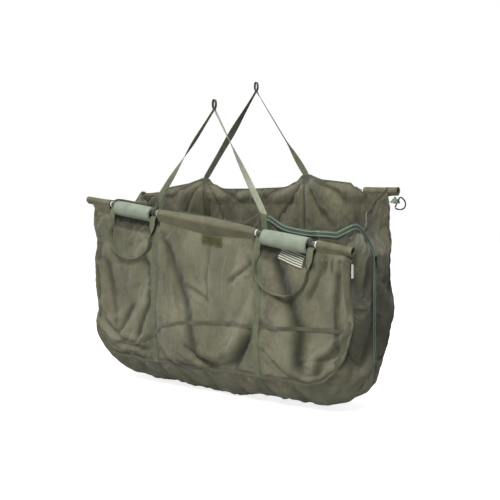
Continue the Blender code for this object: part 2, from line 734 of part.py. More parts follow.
def weigh_strap(name, side, apex, twists, finish, parent):
    """A V of webbing from the hem's two peaks up to a folded eye, each leg twisted a quarter turn."""
    tilt = POLE_TILTS[side]
    level = Vector((math.cos(tilt), 0, math.sin(tilt)))
    plumb = Vector((-math.sin(tilt), 0, math.cos(tilt)))
    eye_centre = apex + plumb * EYE_HALF_HEIGHT
    stations = []
    for k in range(BOW_STEPS):
        turn = 2 * math.pi * k / BOW_STEPS
        place = eye_centre + level * EYE_HALF_GAP * math.sin(turn) - plumb * EYE_HALF_HEIGHT * math.cos(turn)
        out = level * EYE_HALF_HEIGHT * math.sin(turn) - plumb * EYE_HALF_GAP * math.cos(turn)
        stations.append((place, (0, 1, 0), out.normalized(), 1))
    eye = swept(name, stations, flat_section(EYE_WIDTH, WEBBING_THICKNESS), finish, parent, closed=True)
    others = []
    for end, twist in twists:
        foot = Vector((end * STRAP_MIDDLE, 0, STRAP_FOLD_GAP))
        heading = (apex - foot).normalized()
        flat = Vector((heading.z, 0, -heading.x))
        length = (apex - foot).length
        stations = [(foot, (1, 0, 0), (0, 1, 0), 1)]
        distances = [STRAP_FOOT]
        for k in range(STRAP_TWIST_STEPS + 1):
            distances.append(STRAP_TWIST_START + (length - STRAP_TWIST_START) * k / STRAP_TWIST_STEPS)
        for distance in distances:
            turn = twist * eased(distance, STRAP_TWIST_START, length)
            across = flat * math.cos(turn) + Vector((0, math.sin(turn), 0))
            through = heading.cross(across)
            narrow = 1 - (1 - EYE_WIDTH / WEBBING_WIDTH) * eased(distance, length / 2, length)
            stations.append((foot + heading * distance, across, through, narrow))
        last = stations[-1]
        stations.append((last[0] + heading * WEBBING_THICKNESS, *last[1:]))
        section = flat_section(WEBBING_WIDTH, WEBBING_THICKNESS)
        others.append(swept(f"{name}_leg_{len(others)}", stations, section, finish, parent))
    return combine(eye, others, "UNION")


def grip(name, end, finish, parent):
    """A padded wrap, wider than the pole, that hangs on it between the loop's two rings."""
    inner, outer = GRIP_BORE, GRIP_RADIUS
    profile = [(GRIP_START, inner), (GRIP_START, outer - GRIP_EDGE), (GRIP_START + GRIP_EDGE, outer)]
    profile += [(GRIP_END - GRIP_EDGE, outer), (GRIP_END, outer - GRIP_EDGE), (GRIP_END, inner)]
    profile = [(end * along, radius) for along, radius in profile]
    return turned(name, profile, finish, parent, drop=GRIP_HANG)


def pole(prefix, finishes, parent):
    """A pole tube with a plug in each end and a collar at each sleeve mouth."""
    half = POLE_LENGTH / 2
    bore = POLE_RADIUS - POLE_WALL
    turned(prefix + "_pole", tube_profile(-half, half, bore, POLE_RADIUS), finishes["tube"], parent)
    for end, side_name in ((LEFT, "left"), (RIGHT, "right")):
        stem = bore - SEAT_GAP
        face = half + SEAT_GAP
        profile = [(half - PLUG_LENGTH, stem), (face, stem), (face, POLE_RADIUS)]
        profile += [(face + PLUG_HEAD / 2, POLE_RADIUS), (face + PLUG_HEAD, stem)]
        profile = [(end * along, radius) for along, radius in profile]
        plug_name = f"{prefix}_{side_name}_pole_plug"
        turned(plug_name, profile, finishes["plug"], parent, hollow=False)
        for place, start in (("inner", COLLAR_START), ("outer", OUTER_COLLAR_START)):
            outer = RING_INNER + COLLAR_WALL
            profile = tube_profile(end * start, end * (start + COLLAR_WIDTH), RING_INNER, outer)
            turned(f"{prefix}_{side_name}_{place}_collar", profile, finishes["collar"], parent)


def sleeves(prefix, finish, parent):
    half = CENTRE_SLEEVE_HALF
    middle = [(x, SLEEVE_RADIUS, SLEEVE_DROP) for x in (-half, 0, half)]
    sleeve(prefix + "_centre_sleeve", middle, finish, parent)
    for end, side_name in ((LEFT, "left"), (RIGHT, "right")):
        seam_end = BAG_HALF_LENGTH - CLOTH
        stations = [
            (end * END_SLEEVE_START, END_SLEEVE_MOUTH, SLEEVE_DROP),
            (end * seam_end, (END_SLEEVE_MOUTH + END_SLEEVE_TIP) / 2, SLEEVE_DROP),
            (end * (seam_end + END_SLEEVE_CUT_AWAY), END_SLEEVE_TIP, END_SLEEVE_TIP_DROP),
            (end * SLEEVED_HALF, END_SLEEVE_TIP, END_SLEEVE_TIP_DROP),
        ]
        sleeve(f"{prefix}_{side_name}_sleeve", stations, finish, parent)


def d_ring(name, finish, parent):
    """A bent wire D whose straight bar lies on its parent's Z axis."""
    half = RING_BAR_LENGTH / 2
    corner = RING_WIRE * 2
    route = [Vector((0, 0, -half + corner)), Vector((0, 0, half - corner))]
    for k in range(BOW_STEPS + 1):
        turn = math.pi * (0.5 - k / BOW_STEPS)
        bow = Vector((corner + (RING_DEPTH - corner) * math.cos(turn), 0, half * math.sin(turn)))
        route.append(bow)
    stations = []
    for i, place in enumerate(route):
        heading = (route[(i + 1) % len(route)] - route[i - 1]).normalized()
        across = Vector((0, 1, 0))
        stations.append((place, across, heading.cross(across), 1))
    section = []
    for k in range(WIRE_FACETS):
        turn = 2 * math.pi * (k + 0.5) / WIRE_FACETS
        section.append((RING_WIRE * math.cos(turn), RING_WIRE * math.sin(turn)))
    return swept(name, stations, section, finish, parent, closed=True)


def ring_tab(name, finish, parent):
    """Webbing folded round the D-ring's bar and sewn to the corner of the bag."""
    inner = RING_WIRE + SEAT_GAP
    outer = inner + WEBBING_THICKNESS
    steps = ROUND_FACETS // 2
    outline = []
    for k in range(steps + 1):
        turn = -math.pi / 2 + math.pi * k / steps
        outline.append((outer * math.cos(turn), outer * math.sin(turn)))
    outline += [(-TAB_LENGTH, SEAT_GAP), (-TAB_LENGTH, -SEAT_GAP)]
    stations = [((0, 0, z), (1, 0, 0), (0, 1, 0), 1) for z in (-TAB_WIDTH / 2, TAB_WIDTH / 2)]
    body = swept(name, stations, outline, finish, parent)
    hole = []
    for k in range(ROUND_FACETS):
        turn = 2 * math.pi * k / ROUND_FACETS
        hole.append((inner * math.cos(turn), inner * math.sin(turn)))
    stations = [((0, 0, z), (1, 0, 0), (0, 1, 0), 1) for z in (-TAB_WIDTH, TAB_WIDTH)]
    cutter = swept(name + "_eye", stations, hole, finish, parent)
    return combine(body, [cutter], "DIFFERENCE")


def labels(finishes, parent, origin):
    """A name label under the front centre sleeve and a care label behind the right grip."""
    half = NAME_LABEL_WIDTH / 2

    def name_rows(x):
        return [panel_top(FRONT, x) - CLOTH - NAME_LABEL_DEPTH * s for s in (1, 0.5, 0)]

    columns = [NAME_LABEL_MIDDLE - half, NAME_LABEL_MIDDLE, NAME_LABEL_MIDDLE + half]
    laid_on_wall(
        "name_label", FRONT, columns, name_rows, LABEL_THICKNESS, finishes["label"], parent, origin
    )
    half = CARE_LABEL_WIDTH / 2

    def care_rows(x):
        return wall_heights(FRONT, x)[-CARE_LABEL_ROWS:]

    columns = [CARE_LABEL_MIDDLE - half, CARE_LABEL_MIDDLE, CARE_LABEL_MIDDLE + half]
    laid_on_wall(
        "care_label", FRONT, columns, care_rows, LABEL_THICKNESS, finishes["stripes"], parent, origin
    )


def side_label(finish, parent):
    """A small folded label on the right end wall, beside the front seam."""
    near = -HALF_SPACING + SIDE_LABEL_INSET
    grid = []
    for y in (near, near + SIDE_LABEL_WIDTH):
        share = y / HALF_SPACING
        x = end_wall_x(share, SIDE_LABEL_TOP) + CLOTH / 2 + LAYER_GAP + LABEL_THICKNESS
        grid.append([(x, y, SIDE_LABEL_TOP - SIDE_LABEL_LENGTH * s) for s in (0, 1)])
    gusset_sheet("side_label", grid, LABEL_THICKNESS, finish, parent)


def make_finishes():
    return {
        "tube": material("anodised_tube", "7f8479", 0.35, 0.9),
        "plug": material("black_plug", "23241f", 0.6),
        "collar": material("white_nylon_collar", "eef0e6", 0.45),
        "sleeve": material("olive_sleeve_cloth", "6d6a55", 0.85),
        "mesh": material("olive_mesh", "7b7a66", 0.9),
        "flap": material("dark_mesh", "5c5b48", 0.9),
        "webbing": material("olive_webbing", "6b6e52", 0.8),
        "strap": material("dark_webbing", "4b4d3e", 0.8),
        "grip": material("sage_grip", "a5ad97", 0.75),
        "zip": material("green_zip", "5d7a68", 0.6),
        "metal": material("gunmetal", "4a4c4c", 0.4, 0.9),
        "label": material("woven_label", "6b6642", 0.8),
        "stripes": material("care_label", "8a8868", 0.8),
        "white": material("white_label", "eceee8", 0.7),
    }


def build_side(prefix, side, finishes, bag):
    """One long side of the sling, which folds about its seam with the base."""
    seam = (0, side * HALF_SPACING, SEAM_HEIGHT)
    axis = empty(prefix + "_side_axis", seam, bag)
    pole_rise = pole_height(side, 0) - SEAM_HEIGHT
    pole_axis = empty(prefix + "_pole_axis", (0, 0, pole_rise), axis, POLE_TILTS[side])
    pole(prefix, finishes, pole_axis)
    sleeves(prefix, finishes["sleeve"], pole_axis)
    side_panel(prefix + "_panel", side, finishes["mesh"], axis, seam)
    flap(prefix + "_flap", side, finishes["flap"], axis, seam)
    for end, end_name in ((LEFT, "left"), (RIGHT, "right")):
        girth_strap(f"{prefix}_{end_name}_girth_strap", side, end, finishes["webbing"], axis, seam)
        grip(f"{prefix}_{end_name}_grip", end, finishes["grip"], pole_axis)
        carry_loop(f"{prefix}_{end_name}_carry_loop", side, end, finishes["webbing"], pole_axis)
    return axis, pole_axis


def build_weigh_strap(name, side, place, twists, finish, pole_axis):
    """A weigh strap that folds along the line through the hem's peaks. Its legs meet at (across, height)."""
    fold_inset = STRAP_INSET - WEBBING_THICKNESS / 2 - STRAP_FOLD_GAP
    fold = empty(name + "_axis", (0, -side * fold_inset, HEM_PEAK), pole_axis)
    across, up = place[0], place[1] - POLE_HEIGHTS[side]
    lean, rise = math.sin(POLE_TILTS[side]), math.cos(POLE_TILTS[side])
    apex = Vector((across * rise - up * lean, 0, across * lean + up * rise - HEM_PEAK))
    plane = empty(name + "_plane", (0, -side * (STRAP_INSET - fold_inset), 0), fold)
    weigh_strap(name, side, apex, twists, finish, plane)


def build_gusset(finishes, bag):
    """The base, its corners and the two zipped ends."""
    base_panel("base_panel", finishes["mesh"], bag)
    for end, end_name in ((LEFT, "left"), (RIGHT, "right")):
        base_corner(end_name + "_base_corner", end, finishes["mesh"], bag)
        base_girth_strap(f"base_{end_name}_girth_strap", end, finishes["webbing"], bag)
        for side, side_name in ((FRONT, "front"), (REAR, "rear")):
            end_half(f"{end_name}_end_{side_name}", end, side, finishes["mesh"], bag)
        end_zip(end_name + "_end_zip", end, finishes["zip"], bag)
        face = zip_face(SLIDER_HEIGHT)
        slide_axis = empty(end_name + "_slider_axis", (end * face, 0, SLIDER_HEIGHT), bag)
        slider(end_name + "_zip_slider", end, finishes["metal"], slide_axis)
        standing = slider_face() + (BRIDGE_HEIGHT - BRIDGE_BAR) / 2
        pull_axis = empty(end_name + "_pull_axis", (end * standing, 0, 0), slide_axis)
        zip_pull(end_name + "_zip_pull", end, finishes["metal"], pull_axis)


def main():
    start_afresh()
    finishes = make_finishes()
    bag = empty("bag_frame", -HANG_POINT)
    front_axis, front_pole_axis = build_side("front", FRONT, finishes, bag)
    rear_axis, rear_pole_axis = build_side("rear", REAR, finishes, bag)
    quarter = math.pi / 2
    place = (FRONT_APEX_X, FRONT_APEX_HEIGHT)
    twists = ((LEFT, -quarter), (RIGHT, -quarter))
    build_weigh_strap("front_weigh_strap", FRONT, place, twists, finishes["strap"], front_pole_axis)
    place = (REAR_APEX_X, REAR_APEX_HEIGHT)
    twists = ((LEFT, quarter), (RIGHT, -quarter))
    build_weigh_strap("rear_weigh_strap", REAR, place, twists, finishes["strap"], rear_pole_axis)
    build_gusset(finishes, bag)
    labels(finishes, front_axis, (0, FRONT * HALF_SPACING, SEAM_HEIGHT))
    side_label(finishes["white"], bag)
    root = BAG_HALF_LENGTH + END_SLEEVE_CUT_AWAY + PIECE_GAP
    bar = (root + TAB_LENGTH * math.cos(TAB_TILT), 0, -TAB_DROP - TAB_LENGTH * math.sin(TAB_TILT))
    ring_axis = empty("d_ring_axis", bar, rear_pole_axis, TAB_TILT)
    ring_tab("d_ring_tab", finishes["grip"], ring_axis)
    d_ring("d_ring", finishes["metal"], ring_axis)


main()
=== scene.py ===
"""Looks of the weigh sling: settled mesh cloth, sewn sleeves, padded grips, webbing, zips and labels.

Lengths are metres. Shapes are laid out in the bag's own frame, whose origin is its lowest point, and
are moved to the world's frame, whose origin is the rear weigh strap's bearing point, as they are made.
"""

import math

import bpy
import numpy as np
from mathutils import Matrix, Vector, noise
from mathutils.bvhtree import BVHTree


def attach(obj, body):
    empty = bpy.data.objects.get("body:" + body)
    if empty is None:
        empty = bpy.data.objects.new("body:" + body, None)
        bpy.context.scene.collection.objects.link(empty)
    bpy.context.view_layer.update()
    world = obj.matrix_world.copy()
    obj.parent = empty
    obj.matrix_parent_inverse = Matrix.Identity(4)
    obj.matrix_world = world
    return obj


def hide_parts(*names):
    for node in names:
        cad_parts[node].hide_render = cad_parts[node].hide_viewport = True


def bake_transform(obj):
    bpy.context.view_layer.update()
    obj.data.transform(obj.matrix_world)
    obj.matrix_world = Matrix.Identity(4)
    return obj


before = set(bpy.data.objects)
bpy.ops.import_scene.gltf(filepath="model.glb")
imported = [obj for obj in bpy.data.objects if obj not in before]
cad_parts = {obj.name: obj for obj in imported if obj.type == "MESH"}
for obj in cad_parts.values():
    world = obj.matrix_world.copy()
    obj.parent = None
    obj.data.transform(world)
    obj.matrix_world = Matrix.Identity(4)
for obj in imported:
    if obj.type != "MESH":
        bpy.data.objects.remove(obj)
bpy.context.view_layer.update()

FRONT, REAR = -1, 1
LEFT, RIGHT = -1, 1
SIDES = ((FRONT, "front"), (REAR, "rear"))
ENDS = ((LEFT, "left"), (RIGHT, "right"))

# The CAD's own sizes
HANG_POINT = np.array((0.010, 0.14525, 1.16125))
HALF_SPACING = 0.160
POLE_HEIGHTS = {FRONT: 0.626, REAR: 0.7295}
POLE_TILTS = {FRONT: math.radians(7.5), REAR: math.radians(-1.1)}
POLE_RADIUS = 0.010
SLEEVE_RADIUS = 0.0118
SLEEVE_DROP = 0.040
SLEEVE_INSET = 0.0166
CENTRE_SLEEVE_HALF = 0.2265
COLLAR_START = 0.2275
STRAP_MIDDLE = 0.240
INNER_RING_START = 0.2335
GRIP_START, GRIP_END = 0.2595, 0.4445
GRIP_RADIUS, GRIP_BORE, GRIP_HANG = 0.029, 0.0195, 0.0092
OUTER_RING_START, OUTER_RING_END = 0.4455, 0.4705
END_SLEEVE_START, SEAM_END, SLEEVED_HALF = 0.4775, 0.5738, 0.610
WEBBING_WIDTH, WEBBING_THICKNESS = 0.025, 0.0015
LOOP_DEPTH, LOOP_BOW_DEPTH, LOOP_TWIST_START, LOOP_STAND_OFF = 0.195, 0.085, 0.045, 0.0155
BAG_HALF_LENGTH, BASE_HALF_LENGTH, FLAP_HALF_LENGTH = 0.575, 0.405, 0.566
SEAM_HEIGHT, CORNER_RISE = 0.085, 0.140
SIDE_BULGE, END_BULGE = 0.022, 0.025
HEM_LOW, HEM_PEAK, HEM_PEAK_HALF_WIDTH = 0.022, 0.068, 0.045
HEM_ENDS = {FRONT: 0.038, REAR: 0.050}
APEXES = {FRONT: (0.030, 1.035), REAR: (0.010, 1.128)}
LEG_TWISTS = {FRONT: (-90, -90), REAR: (90, -90)}
EYE_WIDTH, EYE_HALF_GAP, EYE_HALF_HEIGHT = 0.0125, 0.007, 0.017
SLIDER_HEIGHT = 0.515
CLOTH = 0.0012
GRIP_RECESS, GRIP_RECESS_FADE = 0.0315, 0.045
BULGE_FADE, TUCK_START = 0.215, 0.55
FLAP_TOP, FLAP_GAP, GRIP_FLAP_INSET = 0.0125, 0.0017, 0.0332
END_LEAN, ARCH_LEAN = 0.055, 0.034


def eased(value, start, end):
    """0 before start, 1 after end, and a smooth rise between them."""
    share = min(max((value - start) / (end - start), 0), 1)
    return share * share * (3 - 2 * share)


def ripple(scale, *place):
    """Seeded, smooth, uneven waves between about -1 and 1, a scale in metres across."""
    return noise.noise(Vector([p / scale for p in place] + [3.7] * (3 - len(place))))


# Shape of the bag, as in the CAD


def pole_height(side, x):
    return POLE_HEIGHTS[side] - math.tan(POLE_TILTS[side]) * x


def grip_share(along):
    reach = abs(along)
    rise = eased(reach, COLLAR_START - 0.008, COLLAR_START)
    return rise * (1 - eased(reach, OUTER_RING_END - 0.022, OUTER_RING_END))


def wall_x(side, along):
    tilt = POLE_TILTS[side]
    square = along * math.cos(tilt) - SLEEVE_DROP * math.sin(tilt)
    return square + (along - square) * eased(abs(along), OUTER_RING_END, FLAP_HALF_LENGTH)


def seam_height(x):
    beyond = min(max(abs(x) - BASE_HALF_LENGTH, 0) / (BAG_HALF_LENGTH - BASE_HALF_LENGTH), 1)
    return SEAM_HEIGHT + CORNER_RISE * (1 - math.sqrt(1 - beyond * beyond))


def panel_top(side, along):
    return pole_height(side, wall_x(side, along)) - SLEEVE_DROP / math.cos(POLE_TILTS[side])


def end_half_span(end, side, height):
    depth = (pole_height(side, end * BAG_HALF_LENGTH) - height) * math.cos(POLE_TILTS[side])
    return HALF_SPACING - SLEEVE_INSET * eased(-depth, -0.050, -FLAP_TOP)


def wall_reach(side, along, height):
    """Distance of a side wall from the middle of the bag."""
    x = wall_x(side, along)
    depth = pole_height(side, x) - height
    recess = grip_share(along) * GRIP_RECESS
    recess *= 1 - eased(depth, SLEEVE_DROP, SLEEVE_DROP + GRIP_RECESS_FADE)
    bow = SIDE_BULGE * (1 - (x / BAG_HALF_LENGTH) ** 2) * eased(depth, LOOP_DEPTH, LOOP_DEPTH + BULGE_FADE)
    bow *= eased(height, SEAM_HEIGHT, SEAM_HEIGHT + CORNER_RISE)
    tuck = HALF_SPACING - end_half_span(math.copysign(1, along), side, height)
    return HALF_SPACING - recess + bow - tuck * eased(abs(along), TUCK_START, BAG_HALF_LENGTH)


def wall_point(side, along, height, outwards=0.0):
    return (wall_x(side, along), side * (wall_reach(side, along, height) + outwards), height)


def hem_peak_share(along):
    away = max(abs(abs(along) - STRAP_MIDDLE) - WEBBING_WIDTH / 2, 0) / HEM_PEAK_HALF_WIDTH
    return math.exp(-away * away)


def hem_rise(side, along):
    ordinary = HEM_LOW + (HEM_ENDS[side] - HEM_LOW) * eased(abs(along), STRAP_MIDDLE, GRIP_START)
    return ordinary + (HEM_PEAK - ordinary) * hem_peak_share(along)


def flap_inset(along, depth):
    share = grip_share(along)
    rise = min(max(SLEEVE_DROP - depth, 0) / (SLEEVE_DROP - FLAP_TOP), 1)
    by_sleeve = FLAP_GAP + (SLEEVE_INSET - FLAP_GAP) * rise
    gathered = hem_peak_share(along) * eased(-depth, 0, HEM_PEAK)
    free = by_sleeve * (1 - share) + GRIP_FLAP_INSET * share
    return free * (1 - gathered) + SLEEVE_INSET * gathered


def by_pole(side, along, depth, inset):
    tilt = POLE_TILTS[side]
    foot = wall_x(side, along)
    rise = max(SLEEVE_DROP - depth, 0)
    height = pole_height(side, foot) - max(depth, SLEEVE_DROP) / math.cos(tilt)
    upright = eased(abs(along), OUTER_RING_END, FLAP_HALF_LENGTH)
    x = foot + rise * math.sin(tilt) * (1 - upright)
    return (x, side * (HALF_SPACING - inset), height + rise * math.cos(tilt))


TAPE_SHARE = 0.1


def bow_share(share):
    beyond = max(abs(share) - TAPE_SHARE, 0) / (1 - TAPE_SHARE)
    return 1 - beyond * beyond


def base_height(share):
    return SEAM_HEIGHT * share * share


def end_wall_x(share, height, end=LEFT):
    """Reach of an end's cloth, which leans inwards at its top, but less under the right end's arch."""
    lean = END_LEAN - (ARCH_LEAN * eased(-share, -0.35, 0.15) if end == RIGHT else 0)
    return BAG_HALF_LENGTH + (END_BULGE - lean * eased(height, 0.520, 0.630)) * bow_share(share)


def end_top(end, share):
    """Height of an end's top edge. The right one stands up in an arch where the zip turns on to the hem."""
    x = end * BAG_HALF_LENGTH
    front, rear = pole_height(FRONT, x) + 0.035, pole_height(REAR, x) + 0.040
    top = front + (rear - front) * (share + 1) / 2 - 0.045 * (1 - share * share)
    if end == LEFT:
        fuller = 0.020 * math.exp(-(((share - 0.65) / 0.25) ** 2))
        return top - 0.024 * (1 - 0.5 * share) + fuller - 0.012 * eased(share, 0.75, 1)
    arch = 0.022 * math.exp(-(((share + 0.62) / 0.24) ** 2))
    return top + arch - 0.026 * eased(share, 0.45, 1)


def seam_wave(end, height, share=FRONT):
    """How far an end's cloth strays along the bag: most at its seams, and not at its zip."""
    free = eased(height, 0.15, 0.28) * (1 - eased(height, 0.53, 0.62))
    wave = 0.007 * math.sin(height * 21 + end) + 0.006 * ripple(0.09, height, end)
    if end == RIGHT:
        wave += 0.022 if share < 0 else 0.012
    else:
        wave -= 0.012
    return end * free * wave * eased(abs(share), 0.12, 0.95)


def low_wave(along):
    """How far the bottom seams rise and fall between the girth straps."""
    return 0.007 * ripple(0.16, along, 1.3) + 0.004 * ripple(0.06, along, 5.1)


def on_pole(side, along, across, up):
    """A point given along a tilted pole, across it and square above it, in the bag's frame."""
    tilt = POLE_TILTS[side]
    x = along * math.cos(tilt) + up * math.sin(tilt)
    height = POLE_HEIGHTS[side] - along * math.sin(tilt) + up * math.cos(tilt)
    return (x, side * HALF_SPACING + across, height)


# Mesh making


def mesh_object(name, points, faces, finish, cut=None):
    """One smooth mesh piece in the world's frame. cut gives each face's corners their place on the cloth."""
    mesh = bpy.data.meshes.new(name)
    mesh.from_pydata((np.array(points) - HANG_POINT).tolist(), [], faces)
    if cut is not None:
        layer = mesh.uv_layers.new(name="cut")
        layer.data.foreach_set("uv", np.array(cut, np.float32).ravel())
    mesh.materials.append(finish)
    mesh.shade_smooth()
    made = bpy.data.objects.new(name, mesh)
    bpy.context.collection.objects.link(made)
    return made


def distances(grid, axis):
    """Mean running length along one axis of a grid of points, in metres."""
    steps = np.linalg.norm(np.diff(grid, axis=axis), axis=2).mean(axis=1 - axis)
    return np.concatenate(([0], np.cumsum(steps)))


def surface(name, grid, finish, closed=False):
    """A grid of points, as rows of columns. A closed one joins its last column to its first."""
    grid = np.array(grid, float)
    rows, columns = grid.shape[:2]
    ruled = np.concatenate((grid, grid[:, :1]), axis=1) if closed else grid
    u, v = distances(ruled, 1), distances(ruled, 0)
    faces, cut = [], []
    for r in range(rows - 1):
        for c in range(columns if closed else columns - 1):
            after = (c + 1) % columns
            near, far = r * columns, (r + 1) * columns
            faces.append((near + c, near + after, far + after, far + c))
            cut += [(u[c], v[r]), (u[c + 1], v[r]), (u[c + 1], v[r + 1]), (u[c], v[r + 1])]
    return mesh_object(name, grid.reshape(-1, 3), faces, finish, cut)


def turns(count):
    """Evenly spaced angles round a full turn."""
    return [2 * math.pi * k / count for k in range(count)]


def oval(centre, across, through, count=8):
    """Points round an oval, from its centre and its two half axes."""
    return [centre + across * math.cos(turn) + through * math.sin(turn) for turn in turns(count)]


def joined(name, pieces):
    """Joins pieces of one finish into the first, under a new name."""
    points, faces, cut = [], [], []
    for piece in pieces:
        mesh = piece.data
        start = len(points)
        points += [tuple(np.array(v.co) + HANG_POINT) for v in mesh.vertices]
        faces += [tuple(start + i for i in face.vertices) for face in mesh.polygons]
        cut += [tuple(corner.uv) for corner in mesh.uv_layers["cut"].data]
    finish = pieces[0].data.materials[0]
    for piece in pieces:
        bpy.data.objects.remove(piece)
    return mesh_object(name, points, faces, finish, cut)


WEBBING_SECTION_SHARES = ((-1, 0), (-0.97, -1), (-0.5, -0.86), (0.5, -0.86), (0.97, -1))
WEBBING_SECTION_SHARES += ((1, 0), (0.97, 1), (0.5, 0.86), (-0.5, 0.86), (-0.97, 1))


def webbing(name, stations, finish, width=WEBBING_WIDTH, closed=False, thickness=WEBBING_THICKNESS):
    """Woven strap with thicker edges along stations of (place, across, through, width share)."""
    grid = []
    for place, across, through, share in stations:
        place, across, through = Vector(place), Vector(across), Vector(through)
        row = []
        for a, t in WEBBING_SECTION_SHARES:
            row.append(place + across * (a * width / 2 * share) + through * (t * thickness / 2))
        grid.append(row)
    if closed:
        grid.append(grid[0])
    return surface(name, grid, finish, closed=True)


def follow(points, across_hint):
    """Stations for a strap that lies along points, square to the hint of what is across it."""
    stations = []
    for i, place in enumerate(points):
        ahead, behind = Vector(points[min(i + 1, len(points) - 1)]), Vector(points[max(i - 1, 0)])
        heading = (ahead - behind).normalized()
        through = heading.cross(Vector(across_hint)).normalized()
        stations.append((place, through.cross(heading), through, 1))
    return stations


def stitches(name, path, outwards, finish, pitch=0.0042, share=0.66, half_width=0.00045, proud=0.0005):
    """A row of thread stitches along a path of points. outwards is the way that they stand proud."""
    path = [Vector(p) for p in path]
    lengths = [0.0]
    for a, b in zip(path, path[1:]):
        lengths.append(lengths[-1] + (b - a).length)

    def at(distance):
        k = min(int(np.searchsorted(lengths, distance, side="right")), len(path) - 1)
        run = lengths[k] - lengths[k - 1]
        return path[k - 1].lerp(path[k], (distance - lengths[k - 1]) / run if run else 0)

    points, faces, cut = [], [], []
    out = Vector(outwards).normalized()
    for k in range(int(lengths[-1] / pitch)):
        start, end = at(k * pitch), at((k + share) * pitch)
        heading = end - start
        if heading.length < 1e-6:
            continue
        side = heading.cross(out).normalized() * half_width
        middle = (start + end) / 2
        base = len(points)
        points += [start, middle + side, end, middle - side, middle + out * proud]
        for a, b in ((0, 1), (1, 2), (2, 3), (3, 0)):
            faces.append((base + a, base + b, base + 4))
            cut += [(0, 0), (0.001, 0), (0, 0.001)]
    return mesh_object(name, points, faces, finish, cut)


def rides(body, *made):
    for piece in made:
        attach(piece, body)


def softened(piece, levels=1):
    """Rounds a piece off with a subdivision surface."""
    modifier = piece.modifiers.new("rounded", "SUBSURF")
    modifier.levels = modifier.render_levels = levels
    return piece


# Materials. Patterns are sized in metres, and a few are drawn coarser than the real ones so that they show.

MESH_PITCH = 0.0030  # netting holes are about 1.5 mm apart, drawn twice as coarse
WEAVE_PITCH = 0.0012  # hems, sleeves and seam tapes: 0.4 mm threads, drawn three times as coarse
TAPE_PITCH = 0.0009  # finer weave of the zips' and the grips' tapes
THREAD_PITCH = 0.0006  # twist of sewing thread, and the satin ribbon's weave
RIB_PITCH, WEFT_PITCH, WEFT_WANDER = 0.0028, 0.0016, 0.0004  # ribs and weft of 25 mm webbing
KNIT_ACROSS, KNIT_ALONG = 0.0016, 0.0012  # stitches of the grips' knitted cloth
RULE_PITCH = 0.0088  # printed rules of the care label
SATIN_PITCH, DAMASK_PITCH = 0.0007, 0.0008
MOULD_GRAIN = 0.0012  # spark-eroded grain of a mould, drawn coarse
NAME_LABEL_HALF_WIDTH, NAME_LABEL_DEPTH = 0.047, 0.038
BORDER_INSET, BORDER_OUTER, BORDER_INNER = 0.0035, 0.0010, 0.0006
COLOURS = {"data_type": "RGBA"}


def linear(hex_colour):
    channels = [int(hex_colour[i : i + 2], 16) / 255 for i in (0, 2, 4)]
    return (*(((c + 0.055) / 1.055) ** 2.4 if c > 0.04045 else c / 12.92 for c in channels), 1)


def set_sockets(tree, node, sockets):
    """Gives a node's sockets their numbers, their hex colours or the outputs that are linked to them."""
    for socket, value in sockets.items():
        if isinstance(value, bpy.types.NodeSocket):
            tree.links.new(value, node.inputs[socket])
        else:
            node.inputs[socket].default_value = linear(value) if isinstance(value, str) else value


def add(tree, kind, settings=None, sockets=None, output=0):
    """Adds a node with its settings, and its sockets set or linked, and gives back one of its outputs."""
    made = tree.nodes.new("ShaderNode" + kind)
    for name, value in (settings or {}).items():
        setattr(made, name, value)
    set_sockets(tree, made, sockets or {})
    return made.outputs[output] if made.outputs else None


def new_material(name, roughness, metallic=0.0):
    made = bpy.data.materials.new(name)
    made.use_nodes = True
    tree = made.node_tree
    shader = tree.nodes["Principled BSDF"]
    set_sockets(tree, shader, {"Roughness": roughness, "Metallic": metallic})
    return made, tree, shader


def cut_place(tree):
    """The place on the cloth, in metres: across it and along it."""
    split = add(tree, "SeparateXYZ", {}, {0: add(tree, "UVMap", {"uv_map": "cut"})}).node
    return split.outputs[0], split.outputs[1]


def patchy(tree, size, detail, spread=None, stretch=None):
    """Uneven patches over the object, about size metres across. Values in spread are drawn out to 0 to 1."""
    place = add(tree, "TexCoord", output="Object")
    if stretch:
        place = add(tree, "Mapping", {}, {"Vector": place, "Scale": stretch})
    sockets = {"Vector": place, "Scale": 1 / size, "Detail": detail, "Roughness": 0.55}
    made = add(tree, "TexNoise", {}, sockets)
    if spread is None:
        return made
    return add(tree, "MapRange", {}, {"Value": made, "From Min": spread[0], "From Max": spread[1]})


def layered(tree, *parts):
    """Sum of patterns, each given with its weight."""
    total = 0.0
    for pattern, weight in parts:
        total = add(tree, "Math", {"operation": "MULTIPLY_ADD"}, {0: pattern, 1: weight, 2: total})
    return total


def sine_wave(tree, place, pitch):
    """A sine wave along a place on the cloth, with its pitch in metres."""
    turn = add(tree, "Math", {"operation": "MULTIPLY"}, {0: place, 1: 2 * math.pi / pitch})
    return add(tree, "Math", {"operation": "SINE"}, {0: turn})


def crossed(tree, across, along, pitch_across, pitch_along):
    """Threads over and under each other: the product of two waves, between -1 and 1."""
    waves = {0: sine_wave(tree, across, pitch_across), 1: sine_wave(tree, along, pitch_along)}
    return add(tree, "Math", {"operation": "MULTIPLY"}, waves)


